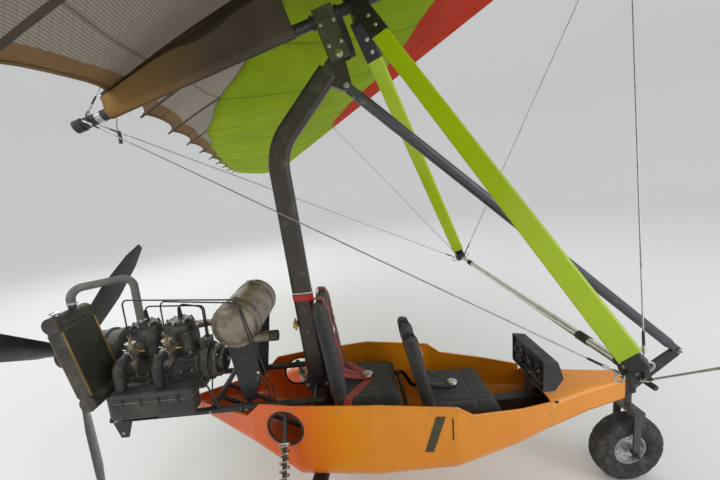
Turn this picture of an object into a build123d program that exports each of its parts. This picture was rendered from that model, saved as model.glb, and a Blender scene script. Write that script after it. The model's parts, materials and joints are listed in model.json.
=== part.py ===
from build123d import *
import os
from math import atan2, cos, degrees, radians, sin, tan

# A two-seat microlight trike with its flexible wing, standing on its wheels.
# Millimetres. X points forward, Y to port, Z up. The floor is Z = 0.

# Stance on the floor
MAST_X = -92.0
WHEEL_R = 200.0
TYRE_WIDTH = 104.0
RIM_R = 92.0
TRACK = 1700.0
MAIN_AXLE_X = MAST_X - 200.0
NOSE_AXLE_X = MAST_X + 1700.0
AXLE_R = 12.5
AXLE_BORE_R = 6.0
HUB_WIDTH = 92.0
RUN_CLEAR = 0.3

# Lower keel beam and steering head
BEAM_REAR_X = MAST_X - 90.0
BEAM_REAR_Z = 480.0
BEAM_HEIGHT = 80.0
BEAM_WIDTH = 60.0
BEAM_WALL = 4.0
STEER_Z = 600.0
STEER_R = 34.0
STEER_HEIGHT = 96.0
STEM_R = 17.0
LUG_THICK = 24.0
LUG_BORE_R = 6.5

# Mast, mast head and front strut
MAST_CHORD = 100.0
MAST_THICK = 56.0
MAST_WALL = 4.0
MAST_BEND_X = MAST_X - 100.0
MAST_BEND_Z = 2000.0
MAST_BEND_R = 260.0
FOOT_PLATE = 8.0
HANG_X = MAST_X + 240.0
HANG_Z = 2400.0
HEAD_PLATE = 44.0
HANG_BOLT_R = 8.0
STRUT_R = 27.0
STRUT_WALL = 3.0
STRUT_TOP_X = MAST_X + 262.0
STRUT_TOP_Z = 2262.0
STRUT_FOOT_X = MAST_X + 1955.0
STRUT_FOOT_Z = 772.0
FORK_EAR = 6.0
FORK_WIDTH = 36.0
FORK_REACH = 62.0

# Main gear
LEG_ROOT_X = MAST_X + 30.0
LEG_ROOT_Z = 470.0
LEG_BLOCK = 40.0
LEG_CHORD = 62.0
LEG_THICK = 30.0
AXLE_INNER = 78.0
AXLE_PROUD = 5.0
AXLE_BORE_DEPTH = 110.0
SPAT_HALF = 88.0
SPAT_WALL = 4.0
SPAT_LOW_Z = 100.0
SPAT_LEG_R = 44.0
SPAT_STATIONS = [
    # x ahead of the axle, half width, middle height, half height
    (-330, 30, 190, 30),
    (-215, 76, 176, 166),
    (0, SPAT_HALF, 195, 236),
    (170, 84, 190, 210),
    (255, 40, 180, 90),
]
SPAT_FLANGE_R = 62.0
SPAT_FLANGE = 6.0
SPRING_R = 20.0
SPRING_EYE_R = 14.0
DAMPER_TOP_X = MAIN_AXLE_X + 40.0

# Nose fork
FORK_SIDE_Y = 74.0
FORK_SIDE_THICK = 10.0
CROWN_Z = 452.0
PEG_HALF = 170.0
PEG_R = 10.0

# Seat frame
SEAT_RAIL_Y = 170.0
SEAT_TUBE_R = 11.0
REAR_SEAT_Z = 700.0
SEAT_DROP_X = MAST_X + 460.0
FRONT_RAIL_X = MAST_X + 860.0
CUSHION = 74.0
SEAT_WIDTH = 400.0
BACK_THICK = 62.0
TANK_ROUND = 24.0

# Pod: an open tub round the seats and a small nose round the beam
POD_WALL = 6.0
POD_EDGE_Z = 822.0
POD_TAIL_X = MAST_X - 680.0
COWL_X = MAST_X + 1160.0
COWL_NOSE_X = MAST_X + 1630.0
POD_FLOOR_Z = 420.0
BEARER_X = MAST_X + 600.0
BEARER_THICK = 6.0
BEARER_WIDTH = 160.0
HATCH_R = 85.0
HATCH_Z = 710.0
POD_STATIONS = [
    # x, half width, bottom z, lower corner radius
    (POD_TAIL_X, 20, 712, 10),
    (MAST_X - 320, 215, 590, 60),
    (MAST_X - 110, 268, 426, 90),
    (MAST_X + 250, 318, POD_FLOOR_Z, 100),
    (MAST_X + 640, 318, POD_FLOOR_Z, 100),
    (MAST_X + 960, 252, 462, 80),
    (COWL_X, 186, 492, 60),
]
POD_RIM = [
    # x and z of the tub's top edge, rear to front
    (POD_TAIL_X - 60, 752),
    (MAST_X - 345, 752),
    (MAST_X - 275, POD_EDGE_Z),
    (MAST_X + 270, POD_EDGE_Z),
    (MAST_X + 640, 772),
    (MAST_X + 715, 716),
    (COWL_X, 656),
]
COWL_STATIONS = [
    # x, half width, bottom z, top z, corner radius
    (COWL_X, 186, 492, 656, 56),
    (MAST_X + 1400, 112, 512, 660, 44),
    (COWL_NOSE_X, 60, 534, 654, 24),
]

# Instrument binnacle, on a neck over the beam
PANEL_X = MAST_X + 1120.0
PANEL_WIDTH = 330.0
PANEL_LOW_Z = 706.0
PANEL_HIGH_Z = 872.0
PANEL_DEPTH = 104.0
PANEL_WALL = 4.0
PANEL_FACE = 5.0
PANEL_DIALS = [
    # y, height over the binnacle's foot, radius
    (-112, 84, 38),
    (-18, 84, 38),
    (68, 106, 26),
    (68, 48, 22),
    (128, 84, 22),
]

# Wing attitude on the mast and its keel; U runs forward along the keel, V to port, W away from it,
# all from the hang bolt
WING_PITCH = 18.0
KEEL_W = 170.0
KEEL_R = 25.0
KEEL_WALL = 2.5
KEEL_TAIL_U = -1250.0
NOSE_U = 1450.0
NOSE_OUTLINE = [(NOSE_U + 5, 18), (NOSE_U - 45, 66), (NOSE_U - 150, 66), (NOSE_U - 220, 25)]
NOSE_WIRE_U = NOSE_U - 14.0
EDGE_SWEEP = 29.0
EDGE_TUBE_R = 30.0
EDGE_TUBE_WALL = 2.5
SKIN = 3.0
ROLL_R = 40.0
NOSE_PLATE = ROLL_R - SKIN - EDGE_TUBE_R - 2 * RUN_CLEAR
NOSE_PLATE_W = EDGE_TUBE_R + RUN_CLEAR + NOSE_PLATE
HALF_SPAN = 4850.0
BRACKET_PLATE = 6.0
BRACKET_WIDTH = 96.0

# Control frame
APEX_U = 150.0
APEX_V = 66.0
APEX_W = 132.0
BAR_U = 380.0
BAR_HALF = 800.0
BAR_W = -1380.0
BAR_R = 14.0
DOWNTUBE_CHORD = 78.0
DOWNTUBE_THICK = 28.0
APEX_SLEEVE = 4.0
APEX_SLEEVE_LENGTH = 190.0
CORNER_SIZE = 44.0
CORNER_RISE = 52.0

# Sail cloth
CREST_SHARE = 0.38
LOWER_SHARE = 0.67
LIP_SHARE = 0.13
LIP_SLOPE = 0.092
LOWER_START_V = 120.0
EDGE_START_V = 70.0
SEAM_GAP = 1.0
KINGPOST_U = 120.0
KINGPOST_TOP_W = 1120.0
KINGPOST_R = 16.0
WIRE_R = 2.5
WIRE_HOLE_R = 14.0
WIRE_HOLE_RUN = 440.0
WIRE_SEAT = 2.6
LOW_SIDE_SEAT = 2.0
HIGH_SIDE_SEAT = 1.2
SIDE_WIRE_DROP = 18.0
JUNCTION_V = 2600.0
JUNCTION_SETBACK = 80.0

# Power plant
PROP_X = MAST_X - 1270.0
PROP_Z = 1070.0
PROP_R = 850.0
PROP_SHAFT_R = 20.0
CRANK_Z = 960.0
RAIL_Z = 790.0
RAIL_Y = 180.0
RAIL_R = 16.0
BRACE_R = 11.0
RAIL_REAR_X = MAST_X - 1000.0
ENGINE_X = MAST_X - 780.0
GEARBOX_X = PROP_X + 205.0
BRACE_X = MAST_X - 520.0
SILENCER_X = MAST_X - 350.0
SILENCER_Z = CRANK_Z + 250.0
SILENCER_R = 108.0
SILENCER_OUTLINE = [
    # y, share of the drum's radius
    (-222, 0.0), (-216, 0.62), (-198, 0.90), (-176, 1.0),
    (206, 1.0), (228, 0.90), (246, 0.62), (252, 0.0),
]
STEEL_WALL = 2.5
MANIFOLD_Y = 200.0
PIPE_R = (20.0, 17.0)
CRADLE_Y = (-120.0, 140.0)
BAND = 2.5
TAIL_PIPE_R = 24.0
TAIL_PIPE_Y = -170.0
TAIL_PIPE_Z = SILENCER_Z - 70.0

# Engine: crankcase, two water-jacketed cylinders and the magneto end
CASE_LENGTH = 380.0
CASE_HALF = 104.0
CASE_LOW = CRANK_Z - 115.0
CASE_HIGH = CRANK_Z + 75.0
CASE_ROUND = 46.0
CASE_RIB = 6.0
CASE_RIB_DX = (-165, -100, -35, 35, 100, 165)
CYLINDER_DX = (-88, 84)
JACKET_LENGTH = 148.0
JACKET_HALF = 75.0
JACKET_LOW = CRANK_Z + 68.0
JACKET_HIGH = CRANK_Z + 190.0
JACKET_ROUND = 44.0
HEAD_R = 72.0
HEAD_HEIGHT = 34.0
DOME_R = 50.0
DOME_HEIGHT = 18.0
HEAD_NUTS = 8
PORT_Z = CRANK_Z + 136.0
PLUG_Y = 18.0
PLUG_TOP = JACKET_HIGH + HEAD_HEIGHT + DOME_HEIGHT + 30.0
OUTLET_Y = -30.0
OUTLET_TOP = JACKET_HIGH + HEAD_HEIGHT + DOME_HEIGHT + 12.0
MAGNETO_STEPS = [
    # end, ahead of the crankcase's middle, and radius
    (230, 96),
    (266, 84),
    (290, 58),
]
COIL_X = ENGINE_X + 206.0
COIL_TOP = CRANK_Z + 128.0
MOUNT_DX = (-130, 130)
MOUNT_R = 26.0
MOUNT_HEIGHT = 60.0
MOUNT_FOOT = 14.0
PUMP_X = ENGINE_X - 40.0
PUMP_Z = CRANK_Z - 15.0
PUMP_Y = -130.0

# Gearbox
BOX_LOW_R = 88.0
BOX_HIGH_R = 100.0
BOX_LIP = 10.0
BOX_BOSS_R = 82.0
BOX_BOSS = 14.0
BOX_STUDS = 10

# Carburettors and airbox, to starboard
CARB_R = 27.0
CARB_MOUTH_Y = -168.0
BOWL_Y = -140.0
CAP_TOP = PORT_Z + 84.0
AIRBOX_X = ENGINE_X + 60.0
AIRBOX_Y = -265.0
AIRBOX_WIDTH = 90.0
AIRBOX_LENGTH = 370.0
AIRBOX_LOW = 860.0
AIRBOX_HIGH = 984.0
AIRBOX_ROUND = 20.0
SHELF_THICK = 4.0
SHELF_LENGTH = 160.0

# Radiator, to starboard of the gearbox, leaning aft
RADIATOR_X = MAST_X - 1010.0
RADIATOR_Y = -225.0
RADIATOR_Z = 1150.0
RADIATOR_LEAN = 12.0
CORE_THICK = 56.0
CORE_WIDTH = 190.0
CORE_HEIGHT = 336.0
END_TANK_R = 36.0
END_TANK_REACH = 186.0
HIGH_HOSE_Y = -195.0
NECK_R = 16.0
HOSE_R = 18.0
HOSE_ARCH_Z = 1452.0
LOW_HOSE_R = 14.0
LOW_HOSE_Y = -165.0
LEAD_R = 4.0
CABLE_R = 3.5
CABLE_ARCH_Z = 1345.0
THROTTLE_END_X = MAST_X - 212.0

# Propeller blades
BLADE_STATIONS = [
    # radius, chord, thickness, pitch angle
    (60, 60, 40, 60),
    (160, 92, 26, 40),
    (420, 124, 16, 22),
    (700, 96, 10, 15),
    (PROP_R, 40, 6, 12),
]
HUB_R = 74.0
HUB_BOLTS = 6

# Sail sections
SAIL_STATIONS = [
    # v, trailing edge u, trailing edge w, camber share of the chord
    (0, -1050, 262, 0.085),
    (1200, -1290, 300, 0.085),
    (2600, -1590, 335, 0.080),
    (4000, -1890, 370, 0.060),
    (HALF_SPAN, -2010, 380, 0.040),
]
POCKET_U = (-380.0, -1020.0)


def rod(start, end, radius):
    axis = Vector(end) - Vector(start)
    return extrude(Plane(origin=start, z_dir=axis) * Circle(radius), axis.length)


def tube(start, end, radius, wall):
    axis = Vector(end) - Vector(start)
    ring = Circle(radius) - Circle(radius - wall)
    return extrude(Plane(origin=start, z_dir=axis) * ring, axis.length)


def bent_rod(points, bend, radius):
    path = FilletPolyline(*points, radius=bend)
    return sweep(Plane(origin=path @ 0, z_dir=path % 0) * Circle(radius), path)


def side_plate(points, thick, y=0.0):
    """A plate with a side-view outline of (x, z) points, centred on y."""
    outline = make_face(Polyline(*[(x, y, z) for x, z in points], close=True))
    return extrude(outline, thick / 2, both=True)


def cross_bore(x, z, radius, length):
    return Pos(x, 0, z) * Rot(90, 0, 0) * Cylinder(radius, length)


def both_sides(part):
    return [part, part.mirror(Plane.XZ)]


def joined(parts):
    whole = parts[0]
    for part in parts[1:]:
        whole = whole + part
    return whole


# Carrying frame

def beam_z(x):
    """Height of the lower beam's centre line at x."""
    slope = (STEER_Z - BEAM_REAR_Z) / (NOSE_AXLE_X - BEAM_REAR_X)
    return BEAM_REAR_Z + slope * (x - BEAM_REAR_X)


def beam_top(x):
    return beam_z(x) + BEAM_HEIGHT / 2


def mast_x(z):
    """The lower mast's centre line at height z."""
    foot_z = beam_top(MAST_X)
    return MAST_X + (MAST_BEND_X - MAST_X) * (z - foot_z) / (MAST_BEND_Z - foot_z)


def beam_bar(outset):
    """The lower beam as a full bar, each face moved out by the outset."""
    front_x = NOSE_AXLE_X - STEER_R + 8
    run = Vector(front_x, 0, beam_z(front_x)) - Vector(BEAM_REAR_X, 0, BEAM_REAR_Z)
    start = Plane(origin=(BEAM_REAR_X, 0, BEAM_REAR_Z), x_dir=(0, 1, 0), z_dir=run)
    return extrude(start * RectangleRounded(BEAM_WIDTH + 2 * outset, BEAM_HEIGHT + 2 * outset, 12 + outset),
                   run.length)


def keel_beam():
    beam = beam_bar(0) - beam_bar(-BEAM_WALL)
    head = Pos(NOSE_AXLE_X, 0, STEER_Z) * Cylinder(STEER_R, STEER_HEIGHT)
    nose_x = NOSE_AXLE_X + STEER_R - 8
    lug = side_plate([(nose_x, STEER_Z - 40), (STRUT_FOOT_X + 10, STRUT_FOOT_Z - 30),
                      (STRUT_FOOT_X + 18, STRUT_FOOT_Z + 8), (STRUT_FOOT_X - 4, STRUT_FOOT_Z + 20),
                      (STRUT_FOOT_X - 22, STRUT_FOOT_Z + 4), (nose_x, STEER_Z + 42)], LUG_THICK)
    foot_low = beam_top(MAST_X) - 20
    foot = [(MAST_X - 74, foot_low), (MAST_X + 74, foot_low), (MAST_X + 40, foot_low + 130),
            (MAST_X - 40, foot_low + 130)]
    foot_y = (MAST_THICK + FOOT_PLATE) / 2 + RUN_CLEAR
    cheeks = [side_plate(foot, FOOT_PLATE, y) for y in (-foot_y, foot_y)]
    bearer_low = POD_FLOOR_Z + POD_WALL + RUN_CLEAR
    bearer_high = beam_z(BEARER_X)
    bearer = Pos(BEARER_X, 0, (bearer_low + bearer_high) / 2)
    bearer *= Box(BEARER_THICK, BEARER_WIDTH, bearer_high - bearer_low)
    bearer -= Pos(BEARER_X, 0, bearer_high) * Box(BEARER_THICK + 2, BEAM_WIDTH - 2 * BEAM_WALL,
                                                  BEAM_HEIGHT - 2 * BEAM_WALL)
    whole = joined([beam, head, lug, bearer] + cheeks)
    whole -= Pos(NOSE_AXLE_X, 0, STEER_Z) * Cylinder(STEM_R + RUN_CLEAR, STEER_HEIGHT + 2)
    return whole - cross_bore(STRUT_FOOT_X, STRUT_FOOT_Z, LUG_BORE_R, LUG_THICK + 2)


def mast_stretch(edge, outer, inner):
    """One straight or bent stretch of the hollow mast."""
    start = Plane(origin=edge @ 0, x_dir=(0, 1, 0), z_dir=edge % 0)
    return sweep(start * outer, edge) - sweep(start * inner, edge)


def mast():
    foot = Vector(MAST_X, 0, beam_top(MAST_X) + 2)
    bend = Vector(MAST_BEND_X, 0, MAST_BEND_Z)
    lean = atan2(HANG_Z - MAST_BEND_Z, HANG_X - MAST_BEND_X)
    neck = Vector(HANG_X - 90 * cos(lean), 0, HANG_Z - 90 * sin(lean))
    line = FilletPolyline(foot, bend, neck, radius=MAST_BEND_R)
    outer = RectangleRounded(MAST_THICK, MAST_CHORD, 22)
    inner = RectangleRounded(MAST_THICK - 2 * MAST_WALL, MAST_CHORD - 2 * MAST_WALL, 18)
    post = joined([mast_stretch(edge, outer, inner) for edge in line.edges()])
    head = side_plate([(HANG_X - 104, HANG_Z - 78), (HANG_X - 62, HANG_Z - 128),
                       (STRUT_TOP_X - 6, STRUT_TOP_Z - 22), (STRUT_TOP_X + 20, STRUT_TOP_Z - 12),
                       (STRUT_TOP_X + 24, STRUT_TOP_Z + 12), (HANG_X + 22, HANG_Z - 6),
                       (HANG_X + 12, HANG_Z + 18), (HANG_X - 14, HANG_Z + 20),
                       (HANG_X - 60, HANG_Z - 22)], HEAD_PLATE)
    whole = post + head - cross_bore(HANG_X, HANG_Z, HANG_BOLT_R + RUN_CLEAR, HEAD_PLATE + 2)
    return whole - cross_bore(STRUT_TOP_X, STRUT_TOP_Z, LUG_BORE_R, HEAD_PLATE + 2)


def fork_end(eye, along, gap):
    """Two ears that straddle a plate, on a plug, with their pin through the plate."""
    side = Plane(origin=eye, x_dir=along, z_dir=(0, 1, 0))
    ear = extrude(SlotCenterPoint((FORK_REACH / 2, 0), (FORK_REACH, 0), FORK_WIDTH), FORK_EAR / 2, both=True)
    ear_y = gap / 2 + RUN_CLEAR + FORK_EAR / 2
    plug = Pos(FORK_REACH + 2, 0, 0) * Box(30, FORK_WIDTH - 2, 2 * ear_y + FORK_EAR)
    pin = Cylinder(LUG_BORE_R - RUN_CLEAR, 2 * ear_y + 2 * FORK_EAR)
    return [side * Pos(0, 0, ear_y) * ear, side * Pos(0, 0, -ear_y) * ear, side * plug, side * pin]


def front_strut():
    top = Vector(STRUT_TOP_X, 0, STRUT_TOP_Z)
    foot = Vector(STRUT_FOOT_X, 0, STRUT_FOOT_Z)
    along = (foot - top).normalized()
    pipe = tube(top + along * FORK_REACH, foot - along * FORK_REACH, STRUT_R, STRUT_WALL)
    return joined([pipe] + fork_end(top, along, HEAD_PLATE) + fork_end(foot, along * -1, LUG_THICK))


def engine_frame():
    """Two rails behind the mast, their clamp at the mast, cross tubes and lower braces."""
    mast_face = MAST_CHORD / 2 + 3
    clamp_x = mast_x(RAIL_Z)
    clamp = Pos(clamp_x, 0, RAIL_Z) * Box(2 * mast_face + 14, MAST_THICK + 30, 60)
    clamp -= Pos(clamp_x, 0, RAIL_Z) * Box(2 * mast_face, MAST_THICK + 1, 70)
    parts = [clamp]
    for side in (-1, 1):
        y = side * RAIL_Y
        parts.append(rod((RAIL_REAR_X, y, RAIL_Z), (clamp_x + 40, y, RAIL_Z), RAIL_R))
        foot_y = side * (MAST_THICK / 2 + FOOT_PLATE + BRACE_R + 2 * RUN_CLEAR)
        brace_foot = (BEAM_REAR_X + 34, foot_y, beam_top(BEAM_REAR_X))
        parts.append(rod((BRACE_X, side * 55, RAIL_Z - 10), brace_foot, BRACE_R))
        parts.append(side_plate([(RAIL_REAR_X, RAIL_Z), (RAIL_REAR_X + 100, RAIL_Z),
                                 (RAIL_REAR_X + 66, RAIL_Z - 100), (RAIL_REAR_X + 30, RAIL_Z - 100)], 6, y))
    for x in (RAIL_REAR_X + 20, BRACE_X, SILENCER_X):
        parts.append(rod((x, -RAIL_Y, RAIL_Z), (x, RAIL_Y, RAIL_Z), RAIL_R - 2))
    parts += silencer_cradle() + airbox_shelf()
    for side in (-1, 1):
        start_y = side * (MAST_THICK / 2 + 8)
        parts.append(rod((clamp_x, start_y, RAIL_Z), (clamp_x, side * RAIL_Y, RAIL_Z), RAIL_R - 2))
    return joined(parts)


def silencer_cradle():
    """Two upright plates with a hollow top, under the silencer's bands."""
    drum = silencer_drum(BAND + RUN_CLEAR)
    plates = []
    for y in CRADLE_Y:
        plate = side_plate([(SILENCER_X - 30, RAIL_Z), (SILENCER_X + 30, RAIL_Z),
                            (SILENCER_X + 84, SILENCER_Z - 52), (SILENCER_X - 84, SILENCER_Z - 52)], 6, y)
        plates.append(plate - drum)
    return plates


def airbox_shelf():
    """A shelf beside the starboard rail, on its upright."""
    in_y, out_y = RAIL_Y + RAIL_R - 1, abs(AIRBOX_Y) + AIRBOX_WIDTH / 2 - 6
    upright = Pos(ENGINE_X, -in_y - 3, (RAIL_Z + AIRBOX_LOW) / 2) * Box(SHELF_LENGTH, 6, AIRBOX_LOW - RAIL_Z)
    shelf = Pos(ENGINE_X, -(in_y + out_y) / 2, AIRBOX_LOW - SHELF_THICK / 2)
    return [upright, shelf * Box(SHELF_LENGTH, out_y - in_y, SHELF_THICK)]


def front_rail_z():
    """The front seat's rails rest their cross tube on the beam."""
    return beam_top(FRONT_RAIL_X) + SEAT_TUBE_R + RUN_CLEAR


def seat_frame():
    rear_x = mast_x(REAR_SEAT_Z) + MAST_CHORD / 2 + SEAT_TUBE_R + 2
    rear_z = REAR_SEAT_Z - SEAT_TUBE_R - RUN_CLEAR
    parts = []
    for side in (-1, 1):
        y = side * SEAT_RAIL_Y
        route = [(rear_x - SEAT_TUBE_R, y, rear_z), (SEAT_DROP_X, y, rear_z),
                 (SEAT_DROP_X + 50, y, front_rail_z()), (FRONT_RAIL_X + 40, y, front_rail_z())]
        parts.append(bent_rod(route, 24, SEAT_TUBE_R))
    for x, z in ((rear_x, rear_z), (SEAT_DROP_X - 30, rear_z), (FRONT_RAIL_X, front_rail_z())):
        parts.append(rod((x, -SEAT_RAIL_Y, z), (x, SEAT_RAIL_Y, z), SEAT_TUBE_R))
    return joined(parts)


# Main gear and wheels

def leg_point(share):
    """A point down the port gear leg, from its root at 0 to the axle's inner end at 1."""
    root = Vector(LEG_ROOT_X, BEAM_WIDTH / 2 + RUN_CLEAR + LEG_BLOCK - 6, LEG_ROOT_Z)
    tip = Vector(MAIN_AXLE_X, TRACK / 2 - AXLE_INNER, WHEEL_R)
    return root + (tip - root) * share


def damper_ends():
    low = leg_point(0.80) + Vector(0, 0, 8)
    top = Vector(DAMPER_TOP_X, RAIL_Y + RAIL_R + SPRING_EYE_R + RUN_CLEAR, RAIL_Z)
    return low, top


def gear_leg(side):
    run = leg_point(1) - leg_point(0)
    start = Plane(origin=leg_point(0), x_dir=(1, 0, 0), z_dir=run)
    blade = loft([start * RectangleRounded(LEG_CHORD * 1.3, LEG_THICK, 12),
                  start.offset(run.length) * RectangleRounded(LEG_CHORD, LEG_THICK, 12)], ruled=True)
    block_y = BEAM_WIDTH / 2 + RUN_CLEAR + LEG_BLOCK / 2
    block = Pos(LEG_ROOT_X, block_y, LEG_ROOT_Z) * Box(LEG_CHORD * 1.3 + 20, LEG_BLOCK, LEG_THICK + 20)
    foot = Pos(MAIN_AXLE_X, TRACK / 2 - AXLE_INNER, WHEEL_R) * Sphere(28)
    axle_end = Vector(MAIN_AXLE_X, TRACK / 2 + SPAT_HALF + AXLE_PROUD, WHEEL_R)
    axle = rod((MAIN_AXLE_X, TRACK / 2 - AXLE_INNER, WHEEL_R), axle_end, AXLE_R)
    flange_y = TRACK / 2 - SPAT_HALF - RUN_CLEAR
    flange_face = Vector(MAIN_AXLE_X, flange_y, WHEEL_R)
    flange = rod(flange_face - Vector(0, SPAT_FLANGE, 0), flange_face, SPAT_FLANGE_R)
    low, top = damper_ends()
    damper = rod(low, top, SPRING_R / 2)
    along = (top - low).normalized()
    sleeve = rod(low + along * 90, low + along * 230, SPRING_R)
    eye = Pos(*top) * Sphere(SPRING_EYE_R)
    leg = joined([blade, block, foot, axle, flange, damper, sleeve, eye])
    leg -= rod(axle_end - Vector(0, AXLE_BORE_DEPTH, 0), axle_end + Vector(0, 1, 0), AXLE_BORE_R)
    return leg if side > 0 else leg.mirror(Plane.XZ)


def tyre(x, y):
    """Tread, shoulders and beads in one turned ring."""
    half = TYRE_WIDTH / 2
    side = [(RIM_R + 1, half - 16), (WHEEL_R - 44, half), (WHEEL_R - 10, half - 12), (WHEEL_R, half - 34)]
    outline = side + [(r, -w) for r, w in reversed(side)]
    face = make_face(Polyline(*[(r, y + w, 0) for r, w in outline], close=True))
    return Pos(x, 0, WHEEL_R) * revolve(face, Axis.Y)


def wheel_hub(x, y):
    """A two-flange rim on a five-spoke disc round its axle barrel."""
    half = HUB_WIDTH / 2
    outline = [(RIM_R - 10, -half + 12), (RIM_R, -half + 12), (RIM_R, half - 12), (RIM_R - 10, half - 12)]
    face = make_face(Polyline(*[(r, y + w, 0) for r, w in outline], close=True))
    rim = revolve(face, Axis.Y)
    barrel = Pos(0, y, 0) * Rot(90, 0, 0) * Cylinder(30, HUB_WIDTH)
    disc = Pos(0, y, 0) * Rot(90, 0, 0) * Cylinder(RIM_R - 2, 12)
    for k in range(5):
        hole = Rot(0, 72 * k, 0) * Pos(56, y, 0) * Rot(90, 0, 0) * Cylinder(16, 40)
        disc -= hole
    bore = Pos(0, y, 0) * Rot(90, 0, 0) * Cylinder(AXLE_R + RUN_CLEAR, HUB_WIDTH + 4)
    return Pos(x, 0, WHEEL_R) * (rim + barrel + disc - bore)


def nose_fork():
    stem = rod((NOSE_AXLE_X, 0, CROWN_Z - 10), (NOSE_AXLE_X, 0, STEER_Z + STEER_HEIGHT / 2 + 34), STEM_R)
    crown = Pos(NOSE_AXLE_X, 0, CROWN_Z) * Box(60, 2 * FORK_SIDE_Y + 24, 24)
    parts = [stem, crown]
    for side in (-1, 1):
        y = side * FORK_SIDE_Y
        parts.append(side_plate([(NOSE_AXLE_X - 22, CROWN_Z + 10), (NOSE_AXLE_X + 22, CROWN_Z + 10),
                                 (NOSE_AXLE_X + 18, WHEEL_R - 18), (NOSE_AXLE_X - 18, WHEEL_R - 18)],
                                FORK_SIDE_THICK, y))
    axle = Pos(NOSE_AXLE_X, 0, WHEEL_R) * Rot(90, 0, 0) * Cylinder(AXLE_R, 2 * FORK_SIDE_Y + 36)
    peg_z = STEER_Z + STEER_HEIGHT / 2 + 20
    pegs = rod((NOSE_AXLE_X, -PEG_HALF, peg_z), (NOSE_AXLE_X, PEG_HALF, peg_z), PEG_R)
    whole = joined(parts + [axle, pegs])
    return whole - Pos(NOSE_AXLE_X, 0, WHEEL_R) * Rot(90, 0, 0) * Cylinder(AXLE_BORE_R, 400)


def spat(side):
    """A teardrop wheel fairing, open below, round one main wheel."""
    y = side * TRACK / 2
    outer = []
    inner = []
    tail_dx, nose_dx = SPAT_STATIONS[0][0], SPAT_STATIONS[-1][0]
    for dx, half, middle, half_height in SPAT_STATIONS:
        corner = min(half, half_height)
        for sections, wall in ((outer, 0), (inner, SPAT_WALL)):
            end = {tail_dx: wall, nose_dx: -wall}.get(dx, 0)
            plane = Plane(origin=(MAIN_AXLE_X + dx + end, y, middle), x_dir=(0, 1, 0), z_dir=(1, 0, 0))
            size = RectangleRounded(2 * (half - wall), 2 * (half_height - wall), corner * 0.7 - wall)
            sections.append(plane * size)
    shell = loft(outer, ruled=True) - loft(inner, ruled=True)
    shell -= Pos(MAIN_AXLE_X, y, SPAT_LOW_Z / 2 - 100) * Box(1000, 4 * SPAT_HALF, SPAT_LOW_Z + 200)
    leg_room = Pos(MAIN_AXLE_X, y - side * SPAT_HALF, WHEEL_R) * Rot(90, 0, 0)
    axle_room = Pos(MAIN_AXLE_X, y + side * SPAT_HALF, WHEEL_R) * Rot(90, 0, 0)
    return shell - leg_room * Cylinder(SPAT_LEG_R, 60) - axle_room * Cylinder(AXLE_R + RUN_CLEAR, 60)


# Pod

def tub_loft(inset):
    """The tub's outside, taller than its rim; inset, its inside with an open top."""
    top = POD_EDGE_Z + 60 + inset
    sections = []
    for x, half, low, corner in POD_STATIONS:
        side, floor, bend = half - inset, low + inset, corner - inset / 2
        end = {POD_STATIONS[0][0]: inset}.get(x, 0)
        plane = Plane(origin=(x + end, 0, 0), x_dir=(0, 1, 0), z_dir=(1, 0, 0))
        turn = bend * (1 - cos(radians(45)))
        edges = [Line((-side, top), (-side, floor + bend)),
                 ThreePointArc((-side, floor + bend), (-side + turn, floor + turn), (-side + bend, floor)),
                 Line((-side + bend, floor), (side - bend, floor)),
                 ThreePointArc((side - bend, floor), (side - turn, floor + turn), (side, floor + bend)),
                 Line((side, floor + bend), (side, top)), Line((side, top), (-side, top))]
        sections.append(plane * make_face(edges))
    return loft(sections, ruled=True)


def pod_shell():
    """The open tub, with a round hatch in each side for the damper and a slot for each gear leg."""
    shell = tub_loft(0) - tub_loft(POD_WALL)
    sky = POD_EDGE_Z + 100
    above = POD_RIM + [(COWL_X + 10, POD_RIM[-1][1]), (COWL_X + 10, sky), (POD_RIM[0][0], sky)]
    shell -= side_plate(above, 2 * POD_STATIONS[3][1] + 20)
    shell -= cross_bore(DAMPER_TOP_X, HATCH_Z, HATCH_R, 2 * POD_STATIONS[3][1])
    run = leg_point(1) - leg_point(0)
    way = Plane(origin=leg_point(0), x_dir=(1, 0, 0), z_dir=run)
    slot = extrude(way * RectangleRounded(LEG_CHORD * 1.3 + 20, LEG_THICK + 20, 14), run.length)
    for piece in both_sides(slot):
        shell -= piece
    room = Pos((POD_TAIL_X + COWL_X - SEAM_GAP) / 2, 0, POD_EDGE_Z)
    return shell & room * Box(COWL_X - SEAM_GAP - POD_TAIL_X, 4 * POD_STATIONS[3][1], 2 * POD_EDGE_Z)


def cowl_loft(inset):
    sections = []
    for x, half, low, high, corner in COWL_STATIONS:
        end = {COWL_NOSE_X: -inset, COWL_X: -inset}.get(x, 0)
        plane = Plane(origin=(x + end, 0, (low + high) / 2), x_dir=(0, 1, 0), z_dir=(1, 0, 0))
        size = RectangleRounded(2 * (half - inset), high - low - 2 * inset, corner - inset / 2)
        sections.append(plane * size)
    return loft(sections, ruled=True)


def pod_cowl():
    """The nose, open to the tub behind and closed round the beam ahead."""
    return cowl_loft(0) - cowl_loft(POD_WALL) - beam_bar(RUN_CLEAR)


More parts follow.
